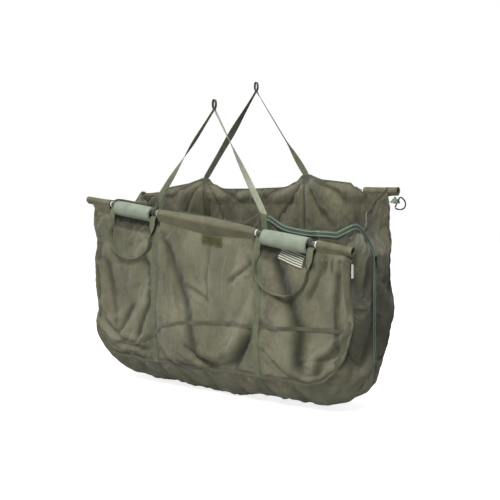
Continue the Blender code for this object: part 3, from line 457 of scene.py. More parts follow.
def mesh_cloth(name, light, dark, doubled_and_shaded_colour, seen_through):
    """Warp-knitted polyester netting: small holes between knitted ribs, darker and less see-through where it
    lies in two layers, and darker where shade is painted into its creases, folds and pleats, under the grips
    and down the ends.
    """
    made, tree, shader = new_material(name, 0.72)
    places = dict(enumerate(cut_place(tree)))
    diagonal = add(tree, "Math", {"operation": "ADD"}, places)
    other = add(tree, "Math", {"operation": "SUBTRACT"}, places)
    threads = crossed(tree, diagonal, other, MESH_PITCH, MESH_PITCH)
    ribs = add(tree, "Math", {"operation": "ABSOLUTE"}, {0: threads})
    # This attribute darkens the colour: two layers of cloth at seams and folds, and painted shade in
    # creases, folds, pleats, under the grips and down the ends.
    doubled_and_shade = add(tree, "Attribute", {"attribute_name": "doubled_and_shade"}, output="Fac")
    tone = patchy(tree, 0.10, 6, (0.36, 0.64), (1.0, 1.0, 0.45))
    fine = patchy(tree, 0.006, 4, (0.25, 0.75))
    worn = layered(tree, (tone, 0.6), (fine, 0.4))
    cloth = add(tree, "Mix", COLOURS, {0: worn, 6: dark, 7: light}, 2)
    closed = add(tree, "Math", {"operation": "SUBTRACT"}, {0: ribs, 1: doubled_and_shade})
    edge = 1 - seen_through
    opaque = {"Value": closed, "From Min": edge + 0.10, "From Max": edge - 0.10}
    height = layered(tree, (fine, 0.9), (ribs, 1.0))
    set_sockets(tree, shader, {
        "Base Color": add(tree, "Mix", COLOURS, {0: doubled_and_shade, 6: cloth, 7: doubled_and_shaded_colour}, 2),
        "Alpha": add(tree, "MapRange", {}, opaque),
        "Normal": add(tree, "Bump", {}, {"Height": height, "Distance": 0.0008, "Strength": 0.7}),
        "Sheen Weight": 0.25,
        "Sheen Roughness": 0.4,
    })
    return made


def woven_cloth(name, light, dark, pitch, sheen=0.3, roughness=0.8, crumple=0.02):
    """Plain-woven polyester cloth: over-and-under threads, faint crumples and faded high places."""
    made, tree, shader = new_material(name, roughness)
    tone, fine = patchy(tree, 0.05, 5, (0.3, 0.7)), patchy(tree, 0.0025, 2, (0.3, 0.7))
    faded = layered(tree, (tone, 0.65), (fine, 0.35))
    threads = crossed(tree, *cut_place(tree), pitch, pitch)
    height = layered(tree, (patchy(tree, crumple, 4), 5.0), (threads, 1.0))
    set_sockets(tree, shader, {
        "Base Color": add(tree, "Mix", COLOURS, {0: faded, 6: dark, 7: light}, 2),
        "Normal": add(tree, "Bump", {}, {"Height": height, "Distance": 0.0004, "Strength": 0.7}),
        "Sheen Weight": sheen,
    })
    return made


def strap_webbing(name, light, dark):
    """Polyester webbing: lengthways ribs crossed by fine weft, with rubbed edges and a little dirt."""
    made, tree, shader = new_material(name, 0.72)
    across, along = cut_place(tree)
    ribs = sine_wave(tree, across, RIB_PITCH)
    weft = sine_wave(tree, layered(tree, (ribs, WEFT_WANDER), (along, 1.0)), WEFT_PITCH)
    weave = layered(tree, (ribs, 0.6), (weft, 0.4))
    dirt = layered(tree, (weave, 0.25), (patchy(tree, 0.03, 4, (0.3, 0.7)), 1.0))
    rubbed = add(tree, "MapRange", {}, {"Value": dirt, "From Min": -0.1, "From Max": 1.1})
    set_sockets(tree, shader, {
        "Base Color": add(tree, "Mix", COLOURS, {0: rubbed, 6: dark, 7: light}, 2),
        "Normal": add(tree, "Bump", {}, {"Height": weave, "Distance": 0.0003, "Strength": 0.8}),
        "Sheen Weight": 0.25,
    })
    return made


def padded_cloth(name, light, dark):
    """Foam-backed knitted cloth of the grips: soft, matt, finely pebbled, paler where hands rub it."""
    made, tree, shader = new_material(name, 0.7)
    tone, fine = patchy(tree, 0.035, 4, (0.3, 0.72)), patchy(tree, 0.002, 2, (0.3, 0.7))
    rubbed = layered(tree, (tone, 0.75), (fine, 0.25))
    knit = crossed(tree, *cut_place(tree), KNIT_ACROSS, KNIT_ALONG)
    height = layered(tree, (patchy(tree, 0.012, 3), 3.0), (knit, 1.0))
    set_sockets(tree, shader, {
        "Base Color": add(tree, "Mix", COLOURS, {0: rubbed, 6: dark, 7: light}, 2),
        "Normal": add(tree, "Bump", {}, {"Height": height, "Distance": 0.0003, "Strength": 0.7}),
        "Sheen Weight": 0.2,
    })
    return made


def brushed_metal(name, light, dark, roughness):
    """Drawn or cast metal: fine scratches along it, duller patches and darker handled places."""
    made, tree, shader = new_material(name, roughness, 0.85)
    scratches = patchy(tree, 0.003, 4, stretch=(0.15, 1.0, 1.0))
    dull = patchy(tree, 0.02, 3, (0.35, 0.65))
    gloss = {"Value": scratches, "To Min": roughness - 0.08, "To Max": roughness + 0.15}
    set_sockets(tree, shader, {
        "Base Color": add(tree, "Mix", COLOURS, {0: dull, 6: dark, 7: light}, 2),
        "Roughness": add(tree, "MapRange", {}, gloss),
        "Normal": add(tree, "Bump", {}, {"Height": scratches, "Distance": 0.0001, "Strength": 0.4}),
    })
    return made


def moulded_plastic(name, light, dark, roughness):
    """Injection-moulded nylon, acetal or polythene: fine spark-eroded grain, faintly uneven gloss."""
    made, tree, shader = new_material(name, roughness)
    tone = patchy(tree, 0.006, 3, (0.3, 0.7))
    grain = patchy(tree, MOULD_GRAIN, 2)
    set_sockets(tree, shader, {
        "Base Color": add(tree, "Mix", COLOURS, {0: tone, 6: dark, 7: light}, 2),
        "Normal": add(tree, "Bump", {}, {"Height": grain, "Distance": 0.00008, "Strength": 0.5}),
    })
    return made


def striped_label(name):
    """Printed satin care label: pale printed rules on olive ribbon, with no text."""
    made, tree, shader = new_material(name, 0.5)
    across, along = cut_place(tree)
    rules = sine_wave(tree, across, RULE_PITCH)
    inked = add(tree, "MapRange", {}, {"Value": rules, "From Min": 0.35, "From Max": 0.5})
    fine = patchy(tree, 0.0025, 2, (0.3, 0.7))
    pale = add(tree, "Mix", COLOURS, {0: fine, 6: "d3d6c8", 7: "eceee4"}, 2)
    ground = add(tree, "Mix", COLOURS, {0: fine, 6: "54563f", 7: "6a6c54"}, 2)
    satin = crossed(tree, across, along, SATIN_PITCH, SATIN_PITCH)
    set_sockets(tree, shader, {
        "Base Color": add(tree, "Mix", COLOURS, {0: inked, 6: ground, 7: pale}, 2),
        "Normal": add(tree, "Bump", {}, {"Height": satin, "Distance": 0.0001, "Strength": 0.5}),
    })
    return made


def bordered_label(name):
    """Damask-woven label: a lighter woven border round a plain olive field."""
    made, tree, shader = new_material(name, 0.62)
    across, along = cut_place(tree)
    insets = {}
    for place, half in ((along, NAME_LABEL_HALF_WIDTH), (across, NAME_LABEL_DEPTH / 2)):
        off_middle = add(tree, "Math", {"operation": "SUBTRACT"}, {0: place, 1: half})
        away = add(tree, "Math", {"operation": "ABSOLUTE"}, {0: off_middle})
        insets[len(insets)] = add(tree, "Math", {"operation": "SUBTRACT"}, {0: half, 1: away})
    inside = add(tree, "Math", {"operation": "MINIMUM"}, insets)
    past = add(tree, "Math", {"operation": "SUBTRACT"}, {0: inside, 1: BORDER_INSET})
    line = add(tree, "Math", {"operation": "ABSOLUTE"}, {0: past})
    border = add(tree, "MapRange", {}, {"Value": line, "From Min": BORDER_OUTER, "From Max": BORDER_INNER})
    fine = patchy(tree, 0.002, 2, (0.3, 0.7))
    field = add(tree, "Mix", COLOURS, {0: fine, 6: "3f3c22", 7: "504c2e"}, 2)
    damask = crossed(tree, across, along, DAMASK_PITCH, DAMASK_PITCH)
    set_sockets(tree, shader, {
        "Base Color": add(tree, "Mix", COLOURS, {0: border, 6: field, 7: "827a4c"}, 2),
        "Normal": add(tree, "Bump", {}, {"Height": damask, "Distance": 0.00015, "Strength": 0.6}),
    })
    return made


def make_finishes():
    """Each finish, from its common name, its light and dark colours, and what it is made of."""
    return {
        # The third colour of each netting is for two layers of cloth and for painted shade in creases and
        # folds.
        "mesh": mesh_cloth("netting_polyester_knit_olive", "97947a", "605e47", "323120", 0.10),
        "flap": mesh_cloth("netting_polyester_knit_dark", "8b886d", "53513b", "2f2e1b", 0.06),
        "hem": woven_cloth("hem_polyester_plain_weave", "57563f", "424230", WEAVE_PITCH),
        "seam": woven_cloth("seam_tape_polyester_plain_weave", "68664e", "4a4934", WEAVE_PITCH),
        "sleeve": woven_cloth(
            "sleeve_polyester_plain_weave", "858062", "55523a", WEAVE_PITCH,
            sheen=0.12, roughness=0.42, crumple=0.03,
        ),
        "webbing": strap_webbing("webbing_polyester_olive", "777b5e", "565a42"),
        "strap": strap_webbing("webbing_polyester_dark", "4c4f3c", "34372a"),
        # A lighter copy of the webbing, with painted light for the front right weigh strap leg's lit face.
        "painted_lit_strap": strap_webbing("webbing_polyester_painted_lit", "b2b5a0", "8f937d"),
        "grip": padded_cloth("grip_foam_backed_knit_sage", "a4ae98", "85917f"),
        "binding": woven_cloth("binding_polyester_tape_sage", "93a08c", "76836f", TAPE_PITCH),
        "tape": woven_cloth("zip_tape_polyester_green", "57634f", "3d4837", TAPE_PITCH),
        "cord": woven_cloth("zip_cord_polyester_green", "97b09a", "6d8a76", TAPE_PITCH),
        "coil": moulded_plastic("zip_coil_nylon_green", "6f8576", "506054", 0.4),
        "metal": brushed_metal("slider_zinc_gunmetal", "3d4040", "262828", 0.5),
        "ring": brushed_metal("ring_zinc_dark_nickel", "34373a", "1f2123", 0.42),
        "pole": brushed_metal("pole_aluminium_anodised", "8a8f80", "5f6559", 0.34),
        "plug": moulded_plastic("plug_moulded_black_polythene", "2b2c27", "1c1d19", 0.55),
        "collar": moulded_plastic("collar_moulded_white_nylon", "f2f4ea", "dfe2d6", 0.4),
        "tab": strap_webbing("tab_webbing_sage", "a3b093", "84917a"),
        "label": bordered_label("label_damask_woven_olive"),
        "stripes": striped_label("label_printed_satin_stripes"),
        "white": woven_cloth("label_satin_ribbon_white", "dcdfd3", "bcc0b2", THREAD_PITCH),
        "thread": woven_cloth("thread_bonded_polyester", "6f6d54", "56543f", THREAD_PITCH),
        "pale_thread": woven_cloth("thread_bonded_polyester_pale", "a8ad93", "8c917a", THREAD_PITCH),
    }


FINISHES = make_finishes()

# The bag: one cloth, settled by simulation

GIRTH_COLUMNS = [COLLAR_START, STRAP_MIDDLE, COLLAR_START + WEBBING_WIDTH]
WALL_ROWS = 44
ABOVE_ROWS = 9
ACROSS = 26
CORNER_STEPS = 14
STRAP_HOLD = 0.014  # half the width of cloth that a girth strap holds still
ZIP_HOLD_SHARE = 0.09  # half the width of an end's cloth that its zip holds still
LEFT_TIP_FALL, TIP_TAPER = 0.016, 0.012
FINE_GATHER, FINE_GATHER_SIZE, BROAD_GATHER, BROAD_GATHER_SIZE = 0.004, 0.05, 0.005, 0.13
GATHER_CALM = 0.022  # how far from a girth strap the gathers are small
BASE_SAG, BASE_SWAY, CORNER_SWAY, END_SWAY = 0.014, 0.008, 0.007, 0.011
REAR_SWELL, FRONT_SWELL = 0.013, 0.011  # how far an end's cloth bellies out on either side of its zip

# How far down each sleeve's cloth reaches, by place along its pole: the right ones taper to their tips.
SLEEVE_PLACES = (-0.2265, -0.125, -0.020, 0.090, 0.2265, 0.4775, 0.540, 0.585, 0.610)
SLEEVE_FALLS = (0.031, 0.036, 0.043, 0.038, 0.024, 0.026, 0.023, 0.017, 0.0165)


def sleeve_fall(along):
    """Depth of a sleeve's sewn edge. The left end sleeves keep their full depth to near their tips."""
    if along < -CENTRE_SLEEVE_HALF:
        taper = eased(-along, SEAM_END - TIP_TAPER, SEAM_END + TIP_TAPER)
        return SLEEVE_DROP + (LEFT_TIP_FALL - SLEEVE_DROP) * taper
    return float(np.interp(along, SLEEVE_PLACES, SLEEVE_FALLS))


def mesh_top(side, along):
    """Height of a wall's netting where it goes into its sleeve."""
    top = panel_top(side, along) + 0.004
    sleeved = 1 - eased(abs(along), CENTRE_SLEEVE_HALF - 0.004, COLLAR_START)
    if along > 0:
        sleeved += eased(along, OUTER_RING_END, END_SLEEVE_START + 0.004)
    return top + max(SLEEVE_DROP - sleeve_fall(along), 0) * sleeved


def wall_columns():
    """Stations along the bag, from its left end to its right one, closer together round the corners."""
    half = [COLLAR_START * k / 19 for k in range(19)] + GIRTH_COLUMNS
    reach = COLLAR_START + WEBBING_WIDTH
    half += [reach + (BASE_HALF_LENGTH - reach) * k / 13 for k in range(1, 14)]
    for k in range(1, CORNER_STEPS + 1):
        turn = math.pi / 2 * k / CORNER_STEPS
        half.append(BASE_HALF_LENGTH + (BAG_HALF_LENGTH - BASE_HALF_LENGTH) * math.sin(turn))
    return [-x for x in reversed(half[1:])] + half


# Folds of the front wall: places (x, height) along each, its half-width, its depth, and how far it darkens
# the cloth, for two layers in the fold and painted shade in its valley.
FRONT_FOLDS = (
    (
        ((-0.219, 0.600), (-0.140, 0.440), (-0.077, 0.297), (-0.016, 0.142), (0.063, 0.088)),
        0.021, 0.014, 0.85,
    ),
    (((-0.096, 0.399), (0.022, 0.338)), 0.008, 0.006, 0.5),
    (((0.256, 0.297), (0.188, 0.198), (0.124, 0.094)), 0.022, 0.013, 0.9),
    (((0.275, 0.560), (0.310, 0.500), (0.364, 0.365), (0.399, 0.266), (0.408, 0.102)), 0.026, 0.015, 1.0),
    (((0.500, 0.505), (0.433, 0.371)), 0.009, 0.007, 0.6),
    (((-0.517, 0.488), (-0.470, 0.300), (-0.437, 0.189)), 0.016, 0.009, 0.7),
    (((-0.305, 0.506), (-0.261, 0.315), (-0.332, 0.156)), 0.013, 0.009, 0.8),
    (((-0.366, 0.307), (-0.425, 0.182)), 0.014, 0.007, 0.7),
    (((0.560, 0.240), (0.525, 0.205), (0.485, 0.180), (0.470, 0.120)), 0.014, 0.010, 0.8),
    (((0.105, 0.416), (0.218, 0.491)), 0.008, 0.006, 0.5),
    (((-0.073, 0.188), (0.044, 0.082)), 0.012, 0.008, 0.6),
    (((0.030, 0.540), (0.000, 0.420), (0.010, 0.330)), 0.008, 0.005, 0.35),
    (((0.190, 0.520), (0.235, 0.400), (0.215, 0.330)), 0.009, 0.006, 0.45),
    (((-0.520, 0.230), (-0.400, 0.160), (-0.270, 0.135)), 0.012, 0.008, 0.7),
    (((0.555, 0.500), (0.545, 0.330), (0.555, 0.200)), 0.014, 0.006, 0.9),
)


def near_fold(path, x, height):
    """Distance of places from a fold's path, and how far along it they lie, from 0 to 1."""
    nearest, reach = np.full(x.shape, 9.0), np.zeros(x.shape)
    run = np.linalg.norm(np.diff(np.array(path), axis=0), axis=1)
    done = 0.0
    for (ax, az), (bx, bz), length in zip(path, path[1:], run):
        t = np.clip(((x - ax) * (bx - ax) + (height - az) * (bz - az)) / length**2, 0, 1)
        away = np.hypot(x - ax - t * (bx - ax), height - az - t * (bz - az))
        closer = away < nearest
        nearest = np.where(closer, away, nearest)
        reach = np.where(closer, (done + t * length) / run.sum(), reach)
        done += length
    return nearest, reach


def fold_depths(side, x, height):
    """How far the folds carry a wall inwards, and how far they darken it, for two layers of cloth and
    painted shade in the folds. The rear wall's are mirrored.
    """
    x = np.array(x, float) * -side
    depth, doubled_and_shade = np.zeros(x.shape), np.zeros(x.shape)
    for path, half_width, deep, doubling_and_shade in FRONT_FOLDS:
        away, reach = near_fold(path, x, np.array(height, float))
        ends = np.clip(np.minimum(reach, 1 - reach) * 7 + 0.25, 0, 1)
        crease = np.exp(-((away / half_width) ** 2)) * ends
        depth += deep * (crease - 0.6 * np.exp(-(((away - 2.2 * half_width) / half_width) ** 2)) * ends)
        doubled_and_shade = np.maximum(doubled_and_shade, doubling_and_shade * crease)
    return depth, doubled_and_shade


def loose_wall_point(side, along, share):
    """A wall point before it settles, with the folds that the cloth starts from."""
    x = wall_x(side, along)
    bottom, top = seam_height(x), mesh_top(side, along)
    height = bottom + (top - bottom) * share
    free = min(eased(share, 0, 0.12), 1 - eased(share, 0.80, 1)) * (1 - eased(abs(along), 0.52, 0.572))
    gathers = FINE_GATHER * ripple(FINE_GATHER_SIZE, along, height * 0.35, side * 2.0)
    gathers += BROAD_GATHER * ripple(BROAD_GATHER_SIZE, along, height, side)
    gathers -= fold_depths(side, [x], [height])[0][0]
    bound = 1 - math.exp(-(((abs(along) - STRAP_MIDDLE) / GATHER_CALM) ** 2))
    across, out, up = wall_point(side, along, height, gathers * free * bound)
    end = math.copysign(1, along)
    stray = seam_wave(end, height, side) * eased(abs(along), 0.46, BAG_HALF_LENGTH)
    return (across + stray, out, up + low_wave(along) * (1 - eased(share, 0, 0.15)))


def lerp(a, b, share):
    return a + (b - a) * share


class LooseBag:
    """The unsettled bag: one list of points, and a grid of their numbers for each wall and the gusset."""

    def __init__(self):
        self.points, self.held = [], []
        self.along = wall_columns()
        self.walls = {side: self.wall(side) for side, _ in SIDES}
        self.gusset = self.lay_gusset()

    def put(self, point, hold):
        self.points.append(tuple(point))
        self.held.append(hold)
        return len(self.points) - 1

    def wall(self, side):
        grid = []
        for along in self.along:
            column = []
            for j in range(WALL_ROWS + 1):
                share = j / WALL_ROWS
                hold = 1.0 if j >= WALL_ROWS - 1 else 0.25 * eased(share, 0.7, 1)
                if abs(along) > BAG_HALF_LENGTH - 1e-6 or j == 0:
                    hold = max(hold, 0.6)
                if abs(abs(along) - STRAP_MIDDLE) < STRAP_HOLD:
                    hold = 1.0
                column.append(self.put(loose_wall_point(side, along, share), hold))
            grid.append(column)
        return grid

    def path(self):
        """Stations round the gusset's edge: ('end', end, row), ('above', end, step) or ('low', column)."""
        last = len(self.along) - 1
        left = [("above", LEFT, k) for k in range(ABOVE_ROWS, 0, -1)]
        left += [("end", LEFT, j) for j in range(WALL_ROWS, 0, -1)]
        right = [("end", RIGHT, j) for j in range(1, WALL_ROWS + 1)]
        right += [("above", RIGHT, k) for k in range(1, ABOVE_ROWS + 1)]
        return left + [("low", i, 0) for i in range(last + 1)] + right

    def gusset_point(self, kind, where, step, share):
        if kind == "low":
            along = self.along[where]
            side_x = wall_x(FRONT if share < 0 else REAR, along)
            beyond = (abs(along) - BASE_HALF_LENGTH) / (BAG_HALF_LENGTH - BASE_HALF_LENGTH)
            if beyond <= 0:
                middle = (1 - share * share) * (1 - (along / BASE_HALF_LENGTH) ** 2)
                sway = BASE_SWAY * ripple(0.10, along, share * HALF_SPACING) * (1 - share * share)
                sway = sway + low_wave(along) - BASE_SAG * middle
                return (lerp(along, side_x, abs(share)), HALF_SPACING * share, base_height(share) + sway)
            turn = math.asin(min(beyond, 1))
            reach = BAG_HALF_LENGTH + END_BULGE * bow_share(share)
            x = BASE_HALF_LENGTH + (reach - BASE_HALF_LENGTH) * math.sin(turn)
            height = base_height(share) + CORNER_RISE * (1 - math.cos(turn)) + low_wave(along)
            sway = CORNER_SWAY * ripple(0.06, turn * 0.15, share * HALF_SPACING, along) * (1 - share * share)
            return (math.copysign(x - sway, along), HALF_SPACING * share, height + sway)
        x = where * BAG_HALF_LENGTH
        wall_top = lerp(panel_top(FRONT, x), panel_top(REAR, x), (share + 1) / 2)
        bottom = base_height(share) + CORNER_RISE
        if kind == "end":
            height = lerp(bottom, wall_top, step / WALL_ROWS)
        else:
            height = lerp(wall_top, end_top(where, share), step / ABOVE_ROWS)
        side = FRONT if share < 0 else REAR
        sway = END_SWAY * ripple(0.05, share * HALF_SPACING, height * 0.22, where) * (1 - share * share)
        rear_swell = REAR_SWELL * math.exp(-(((share - 0.55) / 0.22) ** 2))
        front_swell = FRONT_SWELL * math.exp(-(((share + 0.55) / 0.2) ** 2))
        sway += rear_swell + front_swell
        sway *= eased(abs(share), TAPE_SHARE, 0.3) * (1 - eased(height, 0.58, 0.64))
        x = where * (end_wall_x(share, height, where) + sway) + seam_wave(where, height, share)
        return (x, end_half_span(where, side, height) * share, height)

    def lay_gusset(self):
        grid = []
        for kind, where, step in self.path():
            row = []
            for v in range(ACROSS + 1):
                share = 2 * v / ACROSS - 1
                edge = FRONT if v == 0 else REAR if v == ACROSS else None
                if edge and kind == "end":
                    row.append(self.walls[edge][0 if where == LEFT else -1][step])
                    continue
                if edge and kind == "low":
                    row.append(self.walls[edge][where][0])
                    continue
                hold = 0.0
                if abs(share) < ZIP_HOLD_SHARE and kind != "low":
                    hold = 1.0
                if kind == "above":
                    hold = 1.0 if edge or step >= ABOVE_ROWS - 1 else 0.5
                if kind == "low" and abs(abs(self.along[where]) - STRAP_MIDDLE) < STRAP_HOLD:
                    hold = 1.0
                row.append(self.put(self.gusset_point(kind, where, step, share), hold))
            grid.append(row)
        return grid

    def faces(self):
        made = []
        for grid, turned in ((self.walls[FRONT], True), (self.walls[REAR], False), (self.gusset, True)):
            for i in range(len(grid) - 1):
                for j in range(len(grid[0]) - 1):
                    face = (grid[i][j], grid[i + 1][j], grid[i + 1][j + 1], grid[i][j + 1])
                    made.append(face if turned else face[::-1])
        return made


SETTLE_FRAMES = 32
CLOTH_SPARE_SHARE = 0.045
CLOTH_CAP = 0.028  # the furthest that settling may carry a place


def settled(loose):
    """The bag's points after its cloth, cut a little larger than its shape, has hung under gravity."""
    start = np.array(loose.points)
    mesh = bpy.data.meshes.new("settling")
    mesh.from_pydata(start.tolist(), [], loose.faces())
    made = bpy.data.objects.new("settling", mesh)
    bpy.context.collection.objects.link(made)
    group = made.vertex_groups.new(name="held")
    for i, hold in enumerate(loose.held):
        group.add([i], hold, "REPLACE")
    cloth = made.modifiers.new("cloth", "CLOTH")
    settings = cloth.settings
    settings.quality = 5
    settings.mass = 0.12
    settings.tension_stiffness = settings.compression_stiffness = 8
    settings.shear_stiffness = 3
    settings.bending_stiffness = 0.2
    settings.tension_damping = settings.compression_damping = settings.shear_damping = 12
    settings.air_damping = 2
    settings.vertex_group_mass = "held"
    settings.shrink_min = settings.shrink_max = -CLOTH_SPARE_SHARE
    settings.effector_weights.gravity = 0.45
    cloth.collision_settings.use_collision = False
    cloth.collision_settings.use_self_collision = False
    cloth.point_cache.frame_start = 1
    cloth.point_cache.frame_end = SETTLE_FRAMES
    for step in range(1, SETTLE_FRAMES + 1):
        bpy.context.scene.frame_set(step)
    graph = bpy.context.evaluated_depsgraph_get()
    shape = made.evaluated_get(graph).to_mesh()
    points = np.empty(len(shape.vertices) * 3)
    shape.vertices.foreach_get("co", points)
    bpy.data.objects.remove(made)
    bpy.context.scene.frame_set(1)
    moves = points.reshape(-1, 3) - start
    size = np.linalg.norm(moves, axis=1, keepdims=True)
    return start + moves * np.minimum(1, CLOTH_CAP / np.maximum(size, 1e-9))


def refined(grid):
    """Twice as fine a grid through the same places, curving smoothly between them."""
    for axis in (0, 1):
        rows = np.moveaxis(grid, axis, 0)
        before, after = np.concatenate((rows[:1], rows[:-2])), np.concatenate((rows[2:], rows[-1:]))
        finer = np.empty((2 * len(rows) - 1, *rows.shape[1:]))
        finer[::2] = rows
        finer[1::2] = (9 * (rows[:-1] + rows[1:]) - before - after) / 16
        grid = np.moveaxis(finer, 0, axis)
    return grid


# Crumples of netting: size along the wall, how much longer they are down it, and height.
CRUMPLES = ((0.046, 2.6, 0.0042), (0.024, 2.2, 0.0026), (0.012, 1.5, 0.0012))
CRUMPLE_BEND, CRUMPLE_BEND_SIZE, CRUMPLE_SLANT, CRUMPLE_RIDGE = 0.05, 0.17, 0.35, 2.2
CRUMPLE_CALM = 0.020  # how far from a girth strap the crumples are small
CRUMPLE_EDGE_ROWS = 5


def crumpled(grid, seed, strength=1.0):
    """Ridged creases over a grid of points, fading to nothing at its edges, and how deep each place lies."""
    u, v = np.gradient(grid, axis=0), np.gradient(grid, axis=1)
    out = np.cross(u, v)
    out /= np.maximum(np.linalg.norm(out, axis=2, keepdims=True), 1e-12)
    rows, columns = grid.shape[:2]
    depth = np.zeros((rows, columns))
    for i in range(rows):
        for j in range(columns):
            x, y, z = grid[i, j]
            bend = CRUMPLE_BEND * ripple(CRUMPLE_BEND_SIZE, x, y, z + seed)
            total = 0.0
            for size, longer, high in CRUMPLES:
                slanted = (z - CRUMPLE_SLANT * x) / longer
                total += high * (1 - CRUMPLE_RIDGE * abs(ripple(size, x + bend, y, slanted + seed)))
            depth[i, j] = total
    edge = np.minimum.outer(np.minimum(np.arange(rows), np.arange(rows)[::-1]), np.full(columns, 99))
    edge = np.minimum(edge, np.minimum(np.arange(columns), np.arange(columns)[::-1]))
    bound = 1 - np.exp(-(((np.abs(grid[:, :, 0]) - STRAP_MIDDLE) / CRUMPLE_CALM) ** 4))
    depth *= np.clip(edge / CRUMPLE_EDGE_ROWS, 0, 1) * strength * bound
    return grid + out * depth[:, :, None], depth


def cut_sheet(name, grid, finish, held, rests_on, width, length, doubled_and_shade=None):
    """A cloth piece from a grid of points. The rectangle that it was cut from is not used."""
    grid = np.array(grid, float)
    made = surface(name, grid, finish)
    if doubled_and_shade is None:
        doubled_and_shade = np.zeros(grid.shape[:2])
    layer = made.data.attributes.new("doubled_and_shade", "FLOAT", "POINT")
    layer.data.foreach_set("value", np.clip(doubled_and_shade, 0, 1).ravel())
    return made


# The join half-way up each wall: places along it, and its heights there
JOINS = {
    FRONT: (
        (-0.560, -0.434, -0.330, -0.243, -0.186, -0.097, -0.025, 0.086, 0.261, 0.424, 0.572),
        (0.155, 0.146, 0.150, 0.190, 0.237, 0.253, 0.258, 0.267, 0.269, 0.275, 0.283),
    ),
    REAR: ((-0.570, -0.300, 0.0, 0.300, 0.570), (0.262, 0.270, 0.266, 0.272, 0.266)),
}
JOIN_HALF_WIDTH, END_SEAM_WIDTH, BASE_SEAM_WIDTH = 0.0085, 0.024, 0.015


def seam_share(side, grid):
    """How far each place of a wall lies in the two layers of cloth of its seams: its edges and its join."""
    x, height = grid[:, :, 0], grid[:, :, 2]
    join = np.interp(x.ravel(), *JOINS[side]).reshape(x.shape)
    seams = np.exp(-(((height - join) / JOIN_HALF_WIDTH) ** 4))
    edges = ((grid[:1], END_SEAM_WIDTH), (grid[-1:], END_SEAM_WIDTH), (grid[:, :1], BASE_SEAM_WIDTH))
    for edge, wide in edges:
        away = np.linalg.norm(grid - edge, axis=2)
        seams = np.maximum(seams, np.exp(-((away / wide) ** 6)))
    return seams


PLEAT_PITCH, PLEAT_FALL, PLEAT_DEPTH = 0.027, 0.080, 0.0062
PLEATS_START, PLEATS_END = 0.474, 0.572
SHADE_START, SHADE_END, SHADE_DEPTH, SHADE_SHARE = 0.234, 0.470, 0.092, 0.8
BULGE_LIMIT, BULGE_GIVE = 0.193, 0.011
# Painted shade in the crumples' creases: how much per metre of their depth, and its most.
CREASE_SHADE_PER_METRE, CREASE_SHADE_LIMIT = 90, 0.55
# How dark the seams' two layers of cloth are, and how dark the painted shade over the ends is.
SEAM_DARK_SHARE, END_SHADE_SHARE = 0.6, 0.75


def ramped(value, width):
    """0 below nothing, 1 above a width, and a straight rise between them."""
    return np.clip(value / width, 0, 1)


def pleated(side, grid):
    """Pleats of netting under the right end sleeves, with painted shade in their valleys, and the painted
    shade under the grips.
    """
    x, height = grid[:, :, 0], grid[:, :, 2]
    top = POLE_HEIGHTS[side] - math.tan(POLE_TILTS[side]) * x
    below = top - height
    ramp = ramped(x - PLEATS_START, 0.02) * ramped(PLEATS_END - x, 0.02)
    ramp *= ramped(PLEAT_FALL + 0.025 - below, 0.035) * ramped(below - 0.026, 0.014)
    turn = 2 * math.pi * (x + 0.10 * (below - 0.05) ** 2 / 0.05) / PLEAT_PITCH
    grid[:, :, 1] += side * PLEAT_DEPTH * ramp * (np.sin(turn) + 0.4 * np.sin(2.3 * turn + 1))
    gripped = ramped(np.abs(x) - SHADE_START, 0.006) * ramped(SHADE_END - np.abs(x), 0.006)
    shade = gripped * ramped(SHADE_DEPTH - below, 0.012) * SHADE_SHARE
    return np.maximum(ramp * np.clip(0.35 - np.sin(turn), 0, 1) * 0.8, shade)


def bag_panel(name, grid, skin, seed, rests_on, flat, side=None):
    """A panel of the settled bag, made finer and crumpled, except under the girth straps."""
    grid, depth = crumpled(refined(np.array(grid, float)), seed, 1.0 if side else 0.8)
    # Painted shade in the crumples' creases, darker the deeper they lie.
    doubled_and_shade = np.clip(-depth * CREASE_SHADE_PER_METRE, 0, CREASE_SHADE_LIMIT)
    if side is not None:
        folds = fold_depths(side, grid[:, :, 0], grid[:, :, 2])[1]
        doubled_and_shade = np.maximum(np.maximum(doubled_and_shade, folds), seam_share(side, grid) * SEAM_DARK_SHARE)
        doubled_and_shade = np.maximum(doubled_and_shade, pleated(side, grid))
    elif "base" not in name:
        # Painted shade over the ends' and corners' cloth, from a little above the base to below the top.
        height = grid[:, :, 2]
        lower = ramped(0.61 - height, 0.16) * ramped(height - 0.06, 0.16)
        doubled_and_shade = np.maximum(doubled_and_shade, lower * END_SHADE_SHARE)
    out = np.abs(grid[:, :, 1])
    kept = BULGE_LIMIT + BULGE_GIVE * np.tanh((out - BULGE_LIMIT) / BULGE_GIVE)
    grid[:, :, 1] = np.where(out > BULGE_LIMIT, np.sign(grid[:, :, 1]) * kept, grid[:, :, 1])
    skin.lay(grid)
    return cut_sheet(name, grid, FINISHES["mesh"], "hung", rests_on, *flat, doubled_and_shade)


def fold_with(piece):
    """Moves a piece of an end's transform into its points."""
    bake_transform(piece)


